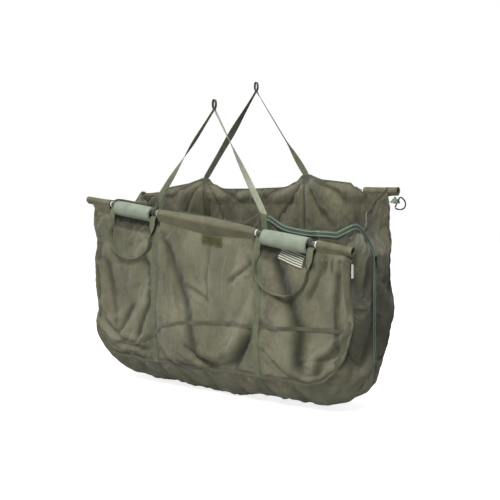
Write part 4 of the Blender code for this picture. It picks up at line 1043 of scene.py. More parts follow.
def bag_cloth(loose, points, skin):
    """Cuts the settled cloth into its panels."""
    half = ACROSS // 2
    for side, name in SIDES:
        grid = points[np.array(loose.walls[side])]
        wall = bag_panel(name + "_wall_mesh", grid, skin, side * 3.0, [name + "_pole"], (1.20, 0.74), side)
        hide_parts(name + "_panel")
        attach(wall, name + "_side")
    gusset = points[np.array(loose.gusset)]
    rows = ABOVE_ROWS + WALL_ROWS
    low = [i for i, x in enumerate(loose.along) if abs(x) <= BASE_HALF_LENGTH + 1e-6]
    first, last = rows + low[0], rows + low[-1]
    base = bag_panel("base_mesh", gusset[first : last + 1], skin, 7.0, ["front_wall_mesh"], (0.86, 0.46))
    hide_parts("base_panel")
    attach(base, "bag_base")
    for end, end_name in ENDS:
        corner = gusset[rows : first + 1] if end == LEFT else gusset[last : len(gusset) - rows]
        wall = gusset[: rows + 1] if end == LEFT else gusset[len(gusset) - rows - 1 :]
        for side, side_name in SIDES:
            columns = slice(0, half + 1) if side == FRONT else slice(half, ACROSS + 1)
            name = f"{end_name}_corner_mesh_{side_name}"
            lower = bag_panel(name, corner[:, columns], skin, end * 11.0 + side, ["base_mesh"], (0.32, 0.26))
            name, above = f"{end_name}_end_mesh_{side_name}", [side_name + "_wall_mesh"]
            upper = bag_panel(name, wall[:, columns], skin, end * 17.0 + side, above, (0.64, 0.28))
            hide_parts(end_name + "_base_corner")
            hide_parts(f"{end_name}_end_{side_name}")
            for piece in (lower, upper):
                fold_with(piece)


FLAP_REACH = 0.576


def flap_columns(count=300):
    """Stations along a flap, which meets the ends' cloth."""
    return [lerp(-FLAP_REACH, FLAP_REACH, k / count) for k in range(count + 1)]


# Height of the rear hem's visible edge above its pole, as it flops towards the ends.
REAR_HEM_REACH = (0.000, 0.120, 0.205, 0.240, 0.320, 0.345, 0.440, 0.465, 0.485, 0.566)
REAR_HEM_RISE = (0.016, 0.018, 0.040, 0.068, 0.043, 0.040, 0.028, 0.002, -0.010, -0.012)


def visible_rise(side, along):
    """Height of the hem, which flops lower towards the rear's ends and behind the front left grip."""
    rise = hem_rise(side, along)
    if side == REAR:
        drawn = float(np.interp(abs(along), REAR_HEM_REACH, REAR_HEM_RISE))
        return rise + (min(rise, drawn + 0.004) - rise) * eased(abs(abs(along) - STRAP_MIDDLE), 0.0, 0.05)
    rise -= 0.016 * eased(-along, 0.285, 0.33) + 0.013 * eased(-along, 0.462, 0.50)
    return rise + 0.014 * eased(along, 0.40, 0.53)


GATHERS = {FRONT: 0.0075, REAR: 0.0120}
GATHER_FADES = {FRONT: (0.030, 0.048), REAR: (0.130, 0.170)}


def strap_pleat(side, along, depth):
    """How far a place is from a strap's foot, and how deep it lies in the pleats that run from there."""
    away, drop = abs(along) - STRAP_MIDDLE, depth + HEM_PEAK
    bearing = math.atan2(away, drop)
    return math.hypot(away, drop), abs(math.sin(bearing * 5.5 + 0.8 * ripple(0.05, along, side)))


def flap_point(side, along, depth, off=0.0):
    """A point of the inner flap, with the gathers that run from the strap's feet."""
    away = abs(along) - STRAP_MIDDLE
    reach, pleat = strap_pleat(side, along, depth)
    gather = GATHERS[side] * pleat * eased(reach, 0.014, 0.06) * (1 - eased(reach, 0.18, 0.34))
    gather += 0.0030 * (1 + ripple(0.022, along, depth * 0.3, side)) * eased(abs(away), 0.01, 0.03)
    gather *= (1 - eased(depth, *GATHER_FADES[side])) * eased(depth + visible_rise(side, along), 0, 0.035)
    gather *= 1 - eased(abs(along), 0.535, FLAP_HALF_LENGTH)
    return by_pole(side, along, depth, flap_inset(along, depth) + gather + off)


HEM_DEPTH, HEM_HALF_THICKNESS, HEM_FOLD = 0.036, 0.0009, 0.0011
HEM_STITCH_OFF, HEM_STITCH_INSET = 0.0014, 0.003
FLAP_DEPTHS = {FRONT: 0.050, REAR: 0.160}
FLAP_CUT_LENGTH, FLAP_TURNINGS = 1.24, 0.10
# Painted shade in the rear flap's creases: how much per metre of their depth, and its most.
FLAP_CREASE_SHADE_PER_METRE, FLAP_CREASE_SHADE_LIMIT = 80, 0.5


def flaps():
    for side, name in SIDES:
        grid, band, doubled_and_shade = [], [], []
        for along in flap_columns():
            rise = visible_rise(side, along)
            deepest = FLAP_DEPTHS[side]
            depths = [deepest - (deepest + rise) * k / 30 for k in range(31)]
            grid.append([flap_point(side, along, depth) for depth in depths])
            row = []
            # Painted shade along the creases of the pleats that run from the straps' feet.
            for depth in depths:
                reach, pleat = strap_pleat(side, along, depth)
                row.append(max(0, 0.9 - 1.7 * pleat) * (1 - eased(reach, 0.16, 0.32)))
            doubled_and_shade.append(row)
            layer = [(-rise + HEM_DEPTH * k / 6, HEM_HALF_THICKNESS) for k in range(7)]
            turned = [(depth, -off) for depth, off in reversed(layer)] + [(-rise - HEM_FOLD, 0.0)] + layer
            band.append([flap_point(side, along, depth, off) for depth, off in turned])
        doubled_and_shade = np.array(doubled_and_shade)
        if side == REAR:
            grid, depth = crumpled(np.array(grid, float), 23.0, 1.2)
            # Painted shade in the rear flap's crumpled creases.
            creases = np.clip(-depth * FLAP_CREASE_SHADE_PER_METRE, 0, FLAP_CREASE_SHADE_LIMIT)
            doubled_and_shade = np.maximum(doubled_and_shade, creases)
        cut = (FLAP_CUT_LENGTH, FLAP_DEPTHS[side] + FLAP_TURNINGS)
        rests_on = [name + "_wall_mesh"]
        made = cut_sheet(name + "_flap_mesh", grid, FINISHES["flap"], "gathered", rests_on, *cut, doubled_and_shade)
        hem = surface(name + "_flap_hem", band, FINISHES["hem"])
        rows = []
        inset = HEM_STITCH_INSET
        edge = [(along, HEM_DEPTH - visible_rise(side, along) - inset) for along in flap_columns()]
        for off in (-HEM_STITCH_OFF, HEM_STITCH_OFF):
            line = [flap_point(side, along, depth, off) for along, depth in edge]
            row_name = f"{name}_hem_stitches_{len(rows)}"
            rows.append(stitches(row_name, line, (0, -side * off, 0), FINISHES["thread"]))
        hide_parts(name + "_flap")
        rides(name + "_side", made, hem, *rows)


# Sleeves

SLEEVE_WRINKLE, SLEEVE_SWAY, SLEEVE_EDGE = 0.0014, 0.0010, 0.0008
SHALLOWEST_SEWN = 0.0175
SLEEVE_STITCH_OUT, SLEEVE_STITCH_UP = 0.0030, 0.0045


def sleeve_ring(radius, drop, along, seed):
    """One turn of a sleeve's cloth, (across, up): up from its sewn edge, round the pole and back down."""
    tangent = math.acos(min(radius / drop, 1))
    arc = []
    for k in range(33):
        turn = tangent + (2 * math.pi - 2 * tangent) * k / 32
        loose = 1 + ripple(0.045, along, turn * 0.010, seed)
        loose += 0.5 * ripple(0.014, along + turn * 0.012, turn * 0.02, seed)
        slack = SLEEVE_WRINKLE * loose * eased(math.sin(math.pi * k / 32), 0, 0.4)
        arc.append(((radius + slack) * math.sin(turn), -(radius + slack) * math.cos(turn)))
    falls = []
    for start, edge in ((arc[0], SLEEVE_EDGE), (arc[-1], -SLEEVE_EDGE)):
        fall = []
        for share in (0.15, 0.3, 0.45, 0.6, 0.75, 0.9, 1):
            sway = SLEEVE_SWAY * ripple(0.018, along, seed + 4) * math.sin(math.pi * share)
            fall.append((lerp(start[0], edge, share) + sway, lerp(start[1], -drop, share)))
        falls.append(fall)
    return falls[0][::-1] + arc + falls[1]


def sleeve(name, side, stations, body, seed):
    """A sewn sleeve from (along, radius, drop) stations, with wrinkles and a row of stitches."""
    rings = []
    for along, radius, drop in stations:
        ring = sleeve_ring(radius, drop, along, seed)
        rings.append([on_pole(side, along, side * y, z) for y, z in ring])
    length = abs(stations[-1][0] - stations[0][0])
    girth = max(sum(math.dist(a, b) for a, b in zip(ring, ring[1:])) for ring in rings)
    rests_on = [name[: name.index("_")] + "_pole"]
    made = cut_sheet(name + "_cloth", rings, FINISHES["sleeve"], "stretched", rests_on, length, girth)
    sewn = [(along, drop) for along, _, drop in stations if drop > SHALLOWEST_SEWN]
    line = [on_pole(side, along, side * SLEEVE_STITCH_OUT, SLEEVE_STITCH_UP - drop) for along, drop in sewn]
    row = stitches(name + "_stitches", line, (0, side, 0), FINISHES["thread"])
    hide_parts(name)
    rides(body, made, row)


CENTRE_SLEEVE_SWELL, LEFT_SLEEVE_SLACK, RIGHT_SLEEVE_SLACK = 0.0060, 0.0032, 0.0018
END_SLEEVE_RADIUS, END_SLEEVE_TIP_RADIUS, END_SLEEVE_TAPER_END = 0.0148, 0.0122, 0.595


def sleeves():
    for side, name in SIDES:
        half = CENTRE_SLEEVE_HALF
        stations = []
        for k in range(97):
            share = 2 * k / 96 - 1
            slack = lerp(LEFT_SLEEVE_SLACK, RIGHT_SLEEVE_SLACK, (share + 1) / 2)
            swell = CENTRE_SLEEVE_SWELL * (1 - share * share) * (1 + 0.45 * share) + slack
            stations.append((half * share, SLEEVE_RADIUS + swell, sleeve_fall(half * share)))
        sleeve(name + "_centre_sleeve", side, stations, name + "_side", side * 5)
        for end, end_name in ENDS:
            stations = []
            for k in range(33):
                along = lerp(END_SLEEVE_START, SLEEVED_HALF, k / 32)
                taper = eased(along, END_SLEEVE_START, END_SLEEVE_TAPER_END)
                radius = lerp(END_SLEEVE_RADIUS, END_SLEEVE_TIP_RADIUS, taper)
                stations.append((end * along, radius, sleeve_fall(end * along)))
            if end == LEFT:
                stations.reverse()
            sleeve(f"{name}_{end_name}_sleeve", side, stations, name + "_side", side * 9 + end)


# Grips, loops and weigh straps

GRIP_FACE_SHARE, GRIP_WALL, GRIP_EDGE_DROP, GRIP_CROWN_DROP = 0.004, 0.001, 0.003, 0.0022
GRIP_LAP, GRIP_LAP_TURN, GRIP_DENT, GRIP_INSIDE = 0.0008, 2.3, 0.0006, 0.0009
BINDING_SHARE, BINDING_DROP, BINDING_HALF_WIDTH, BINDING_HALF_THICKNESS = 0.012, 0.0012, 0.0018, 0.0012
TACK_WIDTH, TACK_DEPTH, TACK_PITCH = 0.019, 0.017, 0.0026
WRAP_GAP, WRAP_SHIFT, WRAP_WIDTH, LEG_START = 0.0014, 0.0065, 0.010, 0.0115
LOOP_TACK_OUT, LOOP_TACK_DROP = 0.0028, 0.030
STRAP_BEHIND, FOOT_LIFT, FOOT_LENGTH = 0.00185, 0.0003, 0.012
EYE_BINDING_LOW, EYE_BINDING_HIGH = -0.006, 0.002
EYE_BINDING_HALF_WIDTH, EYE_BINDING_HALF_DEPTH = 0.0052, 0.0078


def grip(name, side, end, body):
    """A foam pad wrapped round the pole: pulled in at its bound edges, with the wrap's overlap along it."""
    around, rows = 72, 44
    bore, face = GRIP_BORE + GRIP_WALL, GRIP_RADIUS - GRIP_EDGE_DROP
    grid = []

    def ring(share, outer, dent=1.0):
        along = end * lerp(GRIP_START, GRIP_END, share)
        made = []
        for k in range(around):
            turn = 2 * math.pi * k / around
            lapped = outer > bore + GRIP_WALL
            lap = GRIP_LAP * eased(math.cos(turn - GRIP_LAP_TURN), 0.55, 0.70) if lapped else 0
            soft = GRIP_DENT * ripple(0.03, along, math.sin(turn) * 0.03, math.cos(turn) * 0.03) * dent
            radius = outer + soft + lap - GRIP_INSIDE
            made.append(on_pole(side, along, radius * math.sin(turn), radius * math.cos(turn) - GRIP_HANG))
        return made

    first, last = GRIP_FACE_SHARE, 1 - GRIP_FACE_SHARE
    for k in range(7):
        grid.append(ring(first, lerp(bore, face, k / 6), 0))
    for k in range(rows + 1):
        share = k / rows
        crown = 1 - abs(2 * share - 1) ** 8
        grid.append(ring(lerp(first, last, share), GRIP_RADIUS - GRIP_CROWN_DROP * (1 - crown)))
    for k in range(7):
        grid.append(ring(last, lerp(face, bore, k / 6), 0))
    for k in range(9):
        grid.append(ring(lerp(last, first, k / 8), bore, 0))
    pad = surface(name + "_pad", grid, FINISHES["grip"], closed=True)
    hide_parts(name)
    edges = []
    for share in (BINDING_SHARE, 1 - BINDING_SHARE):
        path = ring(share, GRIP_RADIUS - BINDING_DROP, 0)
        centre = Vector(on_pole(side, end * lerp(GRIP_START, GRIP_END, share), 0, -GRIP_HANG))
        tube = []
        for point in path:
            out = (Vector(point) - centre).normalized()
            level = Vector((math.cos(POLE_TILTS[side]), 0, -math.sin(POLE_TILTS[side])))
            tube.append(oval(Vector(point), level * BINDING_HALF_WIDTH, out * BINDING_HALF_THICKNESS))
        tube.append(tube[0])
        edges.append(surface(f"{name}_edge_{len(edges)}", tube, FINISHES["binding"], closed=True))
    rides(body, pad, joined(name + "_binding", edges))


def bar_tack(name, centre, across, down, out, finish, width=TACK_WIDTH, depth=TACK_DEPTH):
    """A box of stitches with a cross in it, which holds webbing to what is under it."""
    centre, across, down = Vector(centre), Vector(across) * width / 2, Vector(down) * depth / 2
    signs = ((-1, -1), (1, -1), (1, 1), (-1, 1))
    corners = [centre + across * a + down * d for a, d in signs]
    path = [*corners, corners[0], corners[2], corners[3], corners[1]]
    return stitches(name, path, out, finish, pitch=TACK_PITCH)


def carry_loop(name, side, end, body):
    """Webbing wound round the pole at both ends of a grip, with a loop that hangs outside it, edge-on."""
    near, far = INNER_RING_START + WEBBING_WIDTH / 2, OUTER_RING_START + WEBBING_WIDTH / 2
    middle, half = (near + far) / 2, (far - near) / 2
    root, bow_top = POLE_RADIUS + WRAP_GAP, LOOP_DEPTH - LOOP_BOW_DEPTH
    level = Vector(on_pole(side, 1, 0, 0)) - Vector(on_pole(side, 0, 0, 0))
    plumb = Vector(on_pole(side, 0, 0, 1)) - Vector(on_pole(side, 0, 0, 0))
    pieces = []
    for place in (near + WRAP_SHIFT, far - WRAP_SHIFT):
        stations = []
        for k in range(28):
            turn = 2 * math.pi * k / 28
            out = Vector((0, math.sin(turn), 0)) + plumb * math.cos(turn)
            centre = Vector(on_pole(side, end * place, 0, 0))
            stations.append((centre + out * root, level, out, 1))
        wrap = f"{name}_wrap_{len(pieces)}"
        pieces.append(webbing(wrap, stations, FINISHES["strap"], WRAP_WIDTH, closed=True))

    def leg(sign):
        made = []
        for k in range(17):
            depth = LEG_START + (bow_top - LEG_START) * k / 16
            share = eased(depth, LOOP_TWIST_START, bow_top)
            turn = math.pi / 2 * share
            off = side * lerp(root + WEBBING_THICKNESS, LOOP_STAND_OFF, share) * eased(depth, 0.008, 0.020)
            across = level * math.cos(turn) + Vector((0, -sign * math.sin(turn), 0))
            through = level * (sign * math.sin(turn)) + Vector((0, math.cos(turn), 0))
            made.append((on_pole(side, end * middle + sign * half, off, -depth), across, through, 1))
        return made

    stations = leg(-1)
    for k in range(1, 28):
        turn = math.pi * k / 28
        heading = level * (half * math.sin(turn)) - plumb * (LOOP_BOW_DEPTH * math.cos(turn))
        along, drop = end * middle - half * math.cos(turn), bow_top + LOOP_BOW_DEPTH * math.sin(turn)
        place = on_pole(side, along, side * LOOP_STAND_OFF, -drop)
        through = Vector((0, 1, 0)).cross(heading.normalized())
        stations.append((place, (0, 1, 0), through, 1))
    back = [(p, [-c for c in a], [-c for c in t], s) for p, a, t, s in reversed(leg(1))]
    pieces.append(webbing(name + "_hanging", stations + back, FINISHES["webbing"]))
    made = pieces.pop()
    wraps = joined(name + "_wraps", pieces)
    for piece in (made, wraps):
        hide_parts(name)
    tacks, thread = [], FINISHES["pale_thread"]
    for i, place in enumerate((near, far)):
        centre = on_pole(side, end * place, side * (root + LOOP_TACK_OUT), -LOOP_TACK_DROP)
        tacks.append(bar_tack(f"{name}_tack_{i}", centre, level, plumb, (0, side, 0), thread))
    rides(body, made, wraps, joined(name + "_tacks", tacks))


# Lit and shaded copies of one webbing: the front right leg is painted lighter as if lit, the rear left leg
# darker as if in shade.
LEG_LIT_AND_SHADED_FINISHES = {
    (FRONT, LEFT): "webbing",
    (FRONT, RIGHT): "painted_lit_strap",
    (REAR, LEFT): "strap",
    (REAR, RIGHT): "webbing",
}


def twisted_share(side, end, distance, length):
    """How much of its quarter turn a leg has made, a distance up from its foot."""
    share = distance / length
    if side == REAR and end == RIGHT:
        return 0.64 * eased(share, 0.08, 0.42) + 0.36 * eased(share, 0.88, 1)
    if side == FRONT and end == LEFT:
        return eased(share, 0.08, 0.72)
    return eased(distance, 0.090, length)


def weigh_strap(side, prefix):
    """A V of webbing from the hem's peaks to a folded eye, each leg twisted a quarter turn."""
    tilt = POLE_TILTS[side]
    inset = -side * (SLEEVE_INSET - STRAP_BEHIND)
    apex_x, apex_height = APEXES[side]
    y = side * HALF_SPACING + inset
    apex = Vector((apex_x, y, apex_height))
    pieces = []
    eye_centre = apex + Vector((0, 0, EYE_HALF_HEIGHT))
    stations = []
    for k in range(32):
        turn = 2 * math.pi * k / 32
        place = eye_centre + Vector((EYE_HALF_GAP * math.sin(turn), 0, -EYE_HALF_HEIGHT * math.cos(turn)))
        out = Vector((EYE_HALF_HEIGHT * math.sin(turn), 0, -EYE_HALF_GAP * math.cos(turn))).normalized()
        stations.append((place, (0, 1, 0), out, 1))
    pieces.append(webbing(prefix + "_eye", stations, FINISHES["strap"], EYE_WIDTH, closed=True))
    level = Vector((math.cos(tilt), 0, -math.sin(tilt)))
    legs = []
    for end, twist in zip((LEFT, RIGHT), LEG_TWISTS[side]):
        foot = Vector(on_pole(side, end * STRAP_MIDDLE, inset, HEM_PEAK + FOOT_LIFT))
        run = apex - foot
        heading, length = run.normalized(), run.length
        flat = Vector((heading.z, 0, -heading.x))
        stations = [(foot, level, (0, 1, 0), 1)]
        for k in range(49):
            distance = lerp(FOOT_LENGTH, length, k / 48)
            turn = math.radians(twist) * twisted_share(side, end, distance, length)
            across = flat * math.cos(turn) + Vector((0, math.sin(turn), 0))
            narrow = 1 - (1 - EYE_WIDTH / WEBBING_WIDTH) * eased(distance, length / 2, length)
            stations.append((foot + heading * distance, across, heading.cross(across), narrow))
        finish = FINISHES[LEG_LIT_AND_SHADED_FINISHES[side, end]]
        legs.append(webbing(f"{prefix}_leg_{dict(ENDS)[end]}", stations, finish))
    made = joined(prefix + "_eye_webbing", pieces)
    for piece in (made, *legs):
        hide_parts(prefix)
    across, through = Vector((EYE_BINDING_HALF_WIDTH, 0, 0)), Vector((0, EYE_BINDING_HALF_DEPTH, 0))
    band = []
    for height in (EYE_BINDING_LOW, EYE_BINDING_HIGH):
        band.append(oval(apex + Vector((0, 0, height)), across, through, 20))
    wrap = surface(prefix + "_eye_binding", band, FINISHES["strap"], closed=True)
    rides(dict(SIDES)[side] + "_strap", made, *legs, wrap)


def handles():
    for side, name in SIDES:
        for end, end_name in ENDS:
            body = f"{name}_{end_name}_handle"
            grip(f"{name}_{end_name}_grip", side, end, body)
            carry_loop(f"{name}_{end_name}_carry_loop", side, end, body)
        weigh_strap(side, name + "_weigh_strap")


# Girth webbing and seam tapes

SKIN_GAP, GIRTH_PROUD, GIRTH_STITCH_OFF, GIRTH_STITCH_PROUD = 0.0005, 0.0006, 0.0105, 0.0009
GIRTH_TACK_DROP, GIRTH_TACK_PROUD = 0.012, 0.0011


def girth_webbing(skin):
    lift = CLOTH / 2 + SKIN_GAP + WEBBING_THICKNESS / 2
    for side, name in SIDES:
        for end, end_name in ENDS:
            along = end * STRAP_MIDDLE
            bottom, top = seam_height(wall_x(side, along)), panel_top(side, along)
            path = []
            for k in range(60):
                height = lerp(bottom, top - 0.002, k / 60)
                path.append(skin.wall(side, wall_x(side, along), height, lift + GIRTH_PROUD))
            path = smoothed(path, 3)
            rise = hem_rise(side, along)
            for k in range(15):
                depth = lerp(SLEEVE_DROP - 0.004, -rise, k / 14)
                path.append(by_pole(side, along, depth, flap_inset(along, depth) - lift))
            made = webbing(f"{name}_{end_name}_girth_webbing", follow(path, (1, 0, 0)), FINISHES["webbing"])
            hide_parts(f"{name}_{end_name}_girth_strap")
            rows = []
            for off in (-GIRTH_STITCH_OFF, GIRTH_STITCH_OFF):
                line = [(x + off, y + side * GIRTH_STITCH_PROUD, z) for x, y, z in path]
                rows.append(stitches(f"{made.name}_row_{len(rows)}", line, (0, side, 0), FINISHES["thread"]))
            centre = Vector(path[-1]) + Vector((0, side * GIRTH_TACK_PROUD, -GIRTH_TACK_DROP))
            thread = FINISHES["pale_thread"]
            tack = bar_tack(made.name + "_tack", centre, (1, 0, 0), (0, 0, 1), (0, side, 0), thread)
            rides(name + "_side", made, joined(made.name + "_stitches", rows), tack)
    for end, end_name in ENDS:
        path = []
        for k in range(41):
            share = 2 * k / 40 - 1
            side_x = wall_x(FRONT if share < 0 else REAR, end * STRAP_MIDDLE)
            x = lerp(end * STRAP_MIDDLE, side_x, abs(share))
            path.append(skin.base(x, HALF_SPACING * share * 0.985, lift + GIRTH_PROUD))
        path = smoothed(path, 3)
        made = webbing(f"base_{end_name}_girth_webbing", follow(path, (1, 0, 0)), FINISHES["webbing"])
        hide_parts(f"base_{end_name}_girth_strap")
        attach(made, "bag_base")


class Skin:
    """Finds places on the finished bag's cloth, for what is sewn to it."""

    def __init__(self):
        self.points, self.faces, self.tree = [], [], None

    def lay(self, grid):
        start, (rows, columns) = len(self.points), grid.shape[:2]
        self.points += [Vector(p) for p in grid.reshape(-1, 3)]
        for i in range(rows - 1):
            for j in range(columns - 1):
                k = start + i * columns + j
                self.faces.append((k, k + 1, k + columns + 1, k + columns))

    def cast(self, place, heading):
        if self.tree is None:
            self.tree = BVHTree.FromPolygons(self.points, self.faces)
        return self.tree.ray_cast(Vector(place), Vector(heading))[0]

    def wall(self, side, x, height, outwards):
        hit = self.cast((x, side * 0.30, height), (0, -side, 0))
        return (x, side * HALF_SPACING if hit is None else hit.y + side * outwards, height)

    def base(self, x, y, outwards):
        hit = self.cast((x, y, -0.20), (0, 0, 1))
        return (x, y, 0 if hit is None else hit.z - outwards)


SEAM_LIFT, UPRIGHT_TAPE_WIDTH, LEVEL_TAPE_WIDTH = 0.0024, 0.021, 0.013
JOIN_TAPE_WIDTH, JOIN_TAPE_THICKNESS, JOIN_LIFT = 0.014, 0.0009, 0.0018


def seam_tapes(loose, points, skin):
    """Taped seams: round each side wall's edge, and the join half-way up the walls."""
    for side, name in SIDES:
        wall = points[np.array(loose.walls[side])]
        edge = [*wall[0, -4:0:-1], *wall[:, 0], *wall[-1, 1:-3]]
        middle = np.array((0.0, side * HALF_SPACING, 0.40))
        rows = []
        for i, place in enumerate(edge):
            heading = np.array(edge[min(i + 1, len(edge) - 1)]) - np.array(edge[max(i - 1, 0)])
            inwards = np.cross(heading / np.linalg.norm(heading), (0, side, 0))
            if np.dot(inwards, middle - place) < 0:
                inwards = -inwards
            wide = UPRIGHT_TAPE_WIDTH if abs(heading[2]) > abs(heading[0]) else LEVEL_TAPE_WIDTH
            row = [place - inwards * 0.003, place + np.array((0, side * SEAM_LIFT, 0))]
            for reach in (0.35, 0.7, 1.0):
                x, _, height = place + inwards * wide * reach
                row.append(skin.wall(side, x, height, SEAM_LIFT))
            rows.append(row)
        rows = np.array(rows)
        for _ in range(4):
            rows[1:-1, :, 1] = (rows[:-2, :, 1] + 2 * rows[1:-1, :, 1] + rows[2:, :, 1]) / 4
        tape = softened(surface(name + "_seam_tape", rows, FINISHES["seam"]))
        line = [row[-2] + np.array((0, side * 0.0006, 0)) for row in rows]
        row = stitches(name + "_seam_stitches", line, (0, side, 0), FINISHES["thread"], pitch=0.006)
        rides(name + "_side", tape, row)
    for side, name in SIDES:
        xs, heights = JOINS[side]
        path = []
        for k in range(181):
            x = lerp(xs[0], xs[-1], k / 180)
            path.append(skin.wall(side, x, float(np.interp(x, xs, heights)), JOIN_LIFT))
        stations = follow(smoothed(path), (0, 0, 1))
        sizes = {"width": JOIN_TAPE_WIDTH, "thickness": JOIN_TAPE_THICKNESS}
        rides(name + "_side", webbing(name + "_join_tape", stations, FINISHES["seam"], **sizes))


def smoothed(path, times=3):
    """Evens out small kinks along a path."""
    path = np.array(path, float)
    for _ in range(times):
        path[1:-1] = (path[:-2] + 2 * path[1:-1] + path[2:]) / 4
    return [tuple(p) for p in path]


# Zips


ZIP_WIDTH, ZIP_THICKNESS, CORD_OFF = 0.022, 0.0012, 0.0064
COIL_OFF, COIL_SWING, COIL_RISE, COIL_WIRE, COIL_PITCH = 0.0011, 0.0013, 0.0011, 0.00045, 0.0036
CAST_FROM = 0.72  # outside both ends, where rays towards their cloth start
ZIP_HEIGHTS = (0.152, 0.255, 0.320, 0.384, 0.470, 0.527, 0.560, 0.588, 0.612, 0.634)
ZIP_ACROSS = (0.012, 0.000, 0.000, 0.000, 0.000, 0.000, -0.016, -0.040, -0.066, -0.096)


def zip_place(end, height, skin):
    """Where the zip runs down an end, over its cloth. The right one starts from the arch."""
    y = float(np.interp(height, ZIP_HEIGHTS, ZIP_ACROSS)) if end == RIGHT else 0.0
    share = y / HALF_SPACING
    x = end * (end_wall_x(share, height, end) + 0.001)
    hit = skin.cast((end * CAST_FROM, y, height), (-end, 0, 0))
    if hit is not None and abs(hit.x - x) < 0.035:
        x = hit.x
    return (x, y, height)


def zip_ribbon(name, path, outs, body):
    """Zip along a path: tape, twin edge cords and a closed coil between them."""
    stations = []
    for i, place in enumerate(path):
        heading = (Vector(path[min(i + 1, len(path) - 1)]) - Vector(path[max(i - 1, 0)])).normalized()
        across = Vector(outs[i]).cross(heading).normalized()
        stations.append((Vector(place), across, heading.cross(across).normalized(), 1))
    tape = webbing(name + "_tape", stations, FINISHES["tape"], ZIP_WIDTH, thickness=ZIP_THICKNESS)
    cords = []
    for sign in (-1, 1):
        tube = []
        for place, across, through, _ in stations:
            centre = place + across * (sign * CORD_OFF) + through * ZIP_THICKNESS
            tube.append(oval(centre, across * 0.0017, through * 0.0013))
        cords.append(surface(f"{name}_cord_{sign + 1}", tube, FINISHES["cord"], closed=True))
    pieces = [tape, joined(name + "_cords", cords)]

    def at(share):
        place = share * (len(stations) - 1)
        k = min(int(place), len(stations) - 2)
        a, b = stations[k], stations[k + 1]
        return a[0].lerp(b[0], place - k) + a[2] * 0.0018, a[1], a[2]

    length = sum(math.dist(a, b) for a, b in zip(path, path[1:]))
    pieces.append(zip_chain(name + "_coil", at, int(length / COIL_PITCH), FINISHES["coil"]))
    rides(body, *pieces)
    return pieces


def zip_chain(name, path_of, count, finish):
    """Interlocked nylon coils: two rows of small rounded turns along a path."""
    pieces = []
    for row in (-1, 1):
        tube = []
        for k in range(count * 6 + 1):
            centre, across, out = path_of(k / (count * 6))
            turn = 2 * math.pi * k / 6 + (math.pi if row > 0 else 0)
            aside, outwards = row * COIL_OFF + COIL_SWING * math.cos(turn), COIL_RISE * math.sin(turn)
            heart = centre + across * aside + out * outwards
            tube.append(oval(heart, across * COIL_WIRE, out * COIL_WIRE, 4))
        pieces.append(surface(f"{name}_row_{row + 1}", tube, finish, closed=True))
    return joined(name, pieces)


ARCH = ((0.552, -0.1500, 0.603), (0.568, -0.1490, 0.611), (0.583, -0.1360, 0.622), (0.588, -0.1160, 0.627))
ARCH += ((0.590, -0.0920, 0.621), (0.590, -0.0640, 0.603), (0.590, -0.0460, 0.588))


def even_path(points, pitch=0.004):
    """Places a pitch apart along straight runs between points."""
    points = np.array(points, float)
    reach = np.concatenate(([0], np.cumsum(np.linalg.norm(np.diff(points, axis=0), axis=1))))
    at = np.linspace(0, reach[-1], int(reach[-1] / pitch) + 1)
    return [tuple(np.interp(a, reach, points[:, i]) for i in range(3)) for a in at]


def over_cloth(end, place, skin):
    """Keeps a zip's place outside an end's cloth."""
    x, y, z = place
    hit = skin.cast((end * CAST_FROM, y, z), (-end, 0, 0)) if y > -0.128 else None
    if hit is not None and abs(hit.x - x) < 0.030:
        x = end * max(end * x, end * hit.x + 0.0016)
    return (x, y, z)


def end_zips(skin):
    for end, end_name in ENDS:
        high = ZIP_HEIGHTS[7] - 0.006 if end == RIGHT else end_top(end, 0) - 0.003
        path = [zip_place(end, lerp(high, ZIP_HEIGHTS[0], k / 90), skin) for k in range(91)]
        path = [(x + end * 0.0014, y, z) for x, y, z in path]
        if end == RIGHT:
            path = [*ARCH, *path]
        path = smoothed(even_path(path), 14)
        path = smoothed([over_cloth(end, place, skin) for place in path], 4)
        outs = []
        for x, y, z in path:
            turn = math.pi / 2 * eased(y, -0.150, -0.118)
            outs.append((math.sin(turn), -math.cos(turn), 0.0) if end == RIGHT else (end, 0.0, 0.0))
        made = zip_ribbon(end_name + "_zip", path, outs, "bag_base")
        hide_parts(end_name + "_end_zip")
        slider_and_pull(end, end_name)


def mouth_zip():
    """The part of the zip along the front hem, from the right strap's foot to the right end's arch."""
    path = []
    for k in range(71):
        along = lerp(STRAP_MIDDLE + 0.016, 0.535, k / 70)
        path.append(flap_point(FRONT, along, -visible_rise(FRONT, along) + 0.011, -0.0024))
    path = smoothed(even_path([*path, ARCH[0]]), 6)
    zip_ribbon("right_mouth_zip", path, [(0.0, -1.0, 0.0)] * len(path), "front_side")


SLIDER_LENGTH, SLIDER_HALF_WIDTH, SLIDER_WAIST, SLIDER_HALF_THICKNESS = 0.014, 0.0055, 0.0012, 0.0021
BRIDGE_REACH, BRIDGE_RISE, BRIDGE_HALF_WIDTH, BRIDGE_HALF_THICKNESS = 0.0045, 0.0036, 0.0011, 0.0006
PULL_MIDDLE, PULL_HALF_LENGTH, PULL_HALF_WIDTH, PULL_TAPER_SHARE = 0.0170, 0.0176, 0.0039, 0.18
HOLE_HALF_WIDTH, HOLE_HALF_HEIGHT, PULL_HALF_THICKNESS = 0.0015, 0.0026, 0.00055


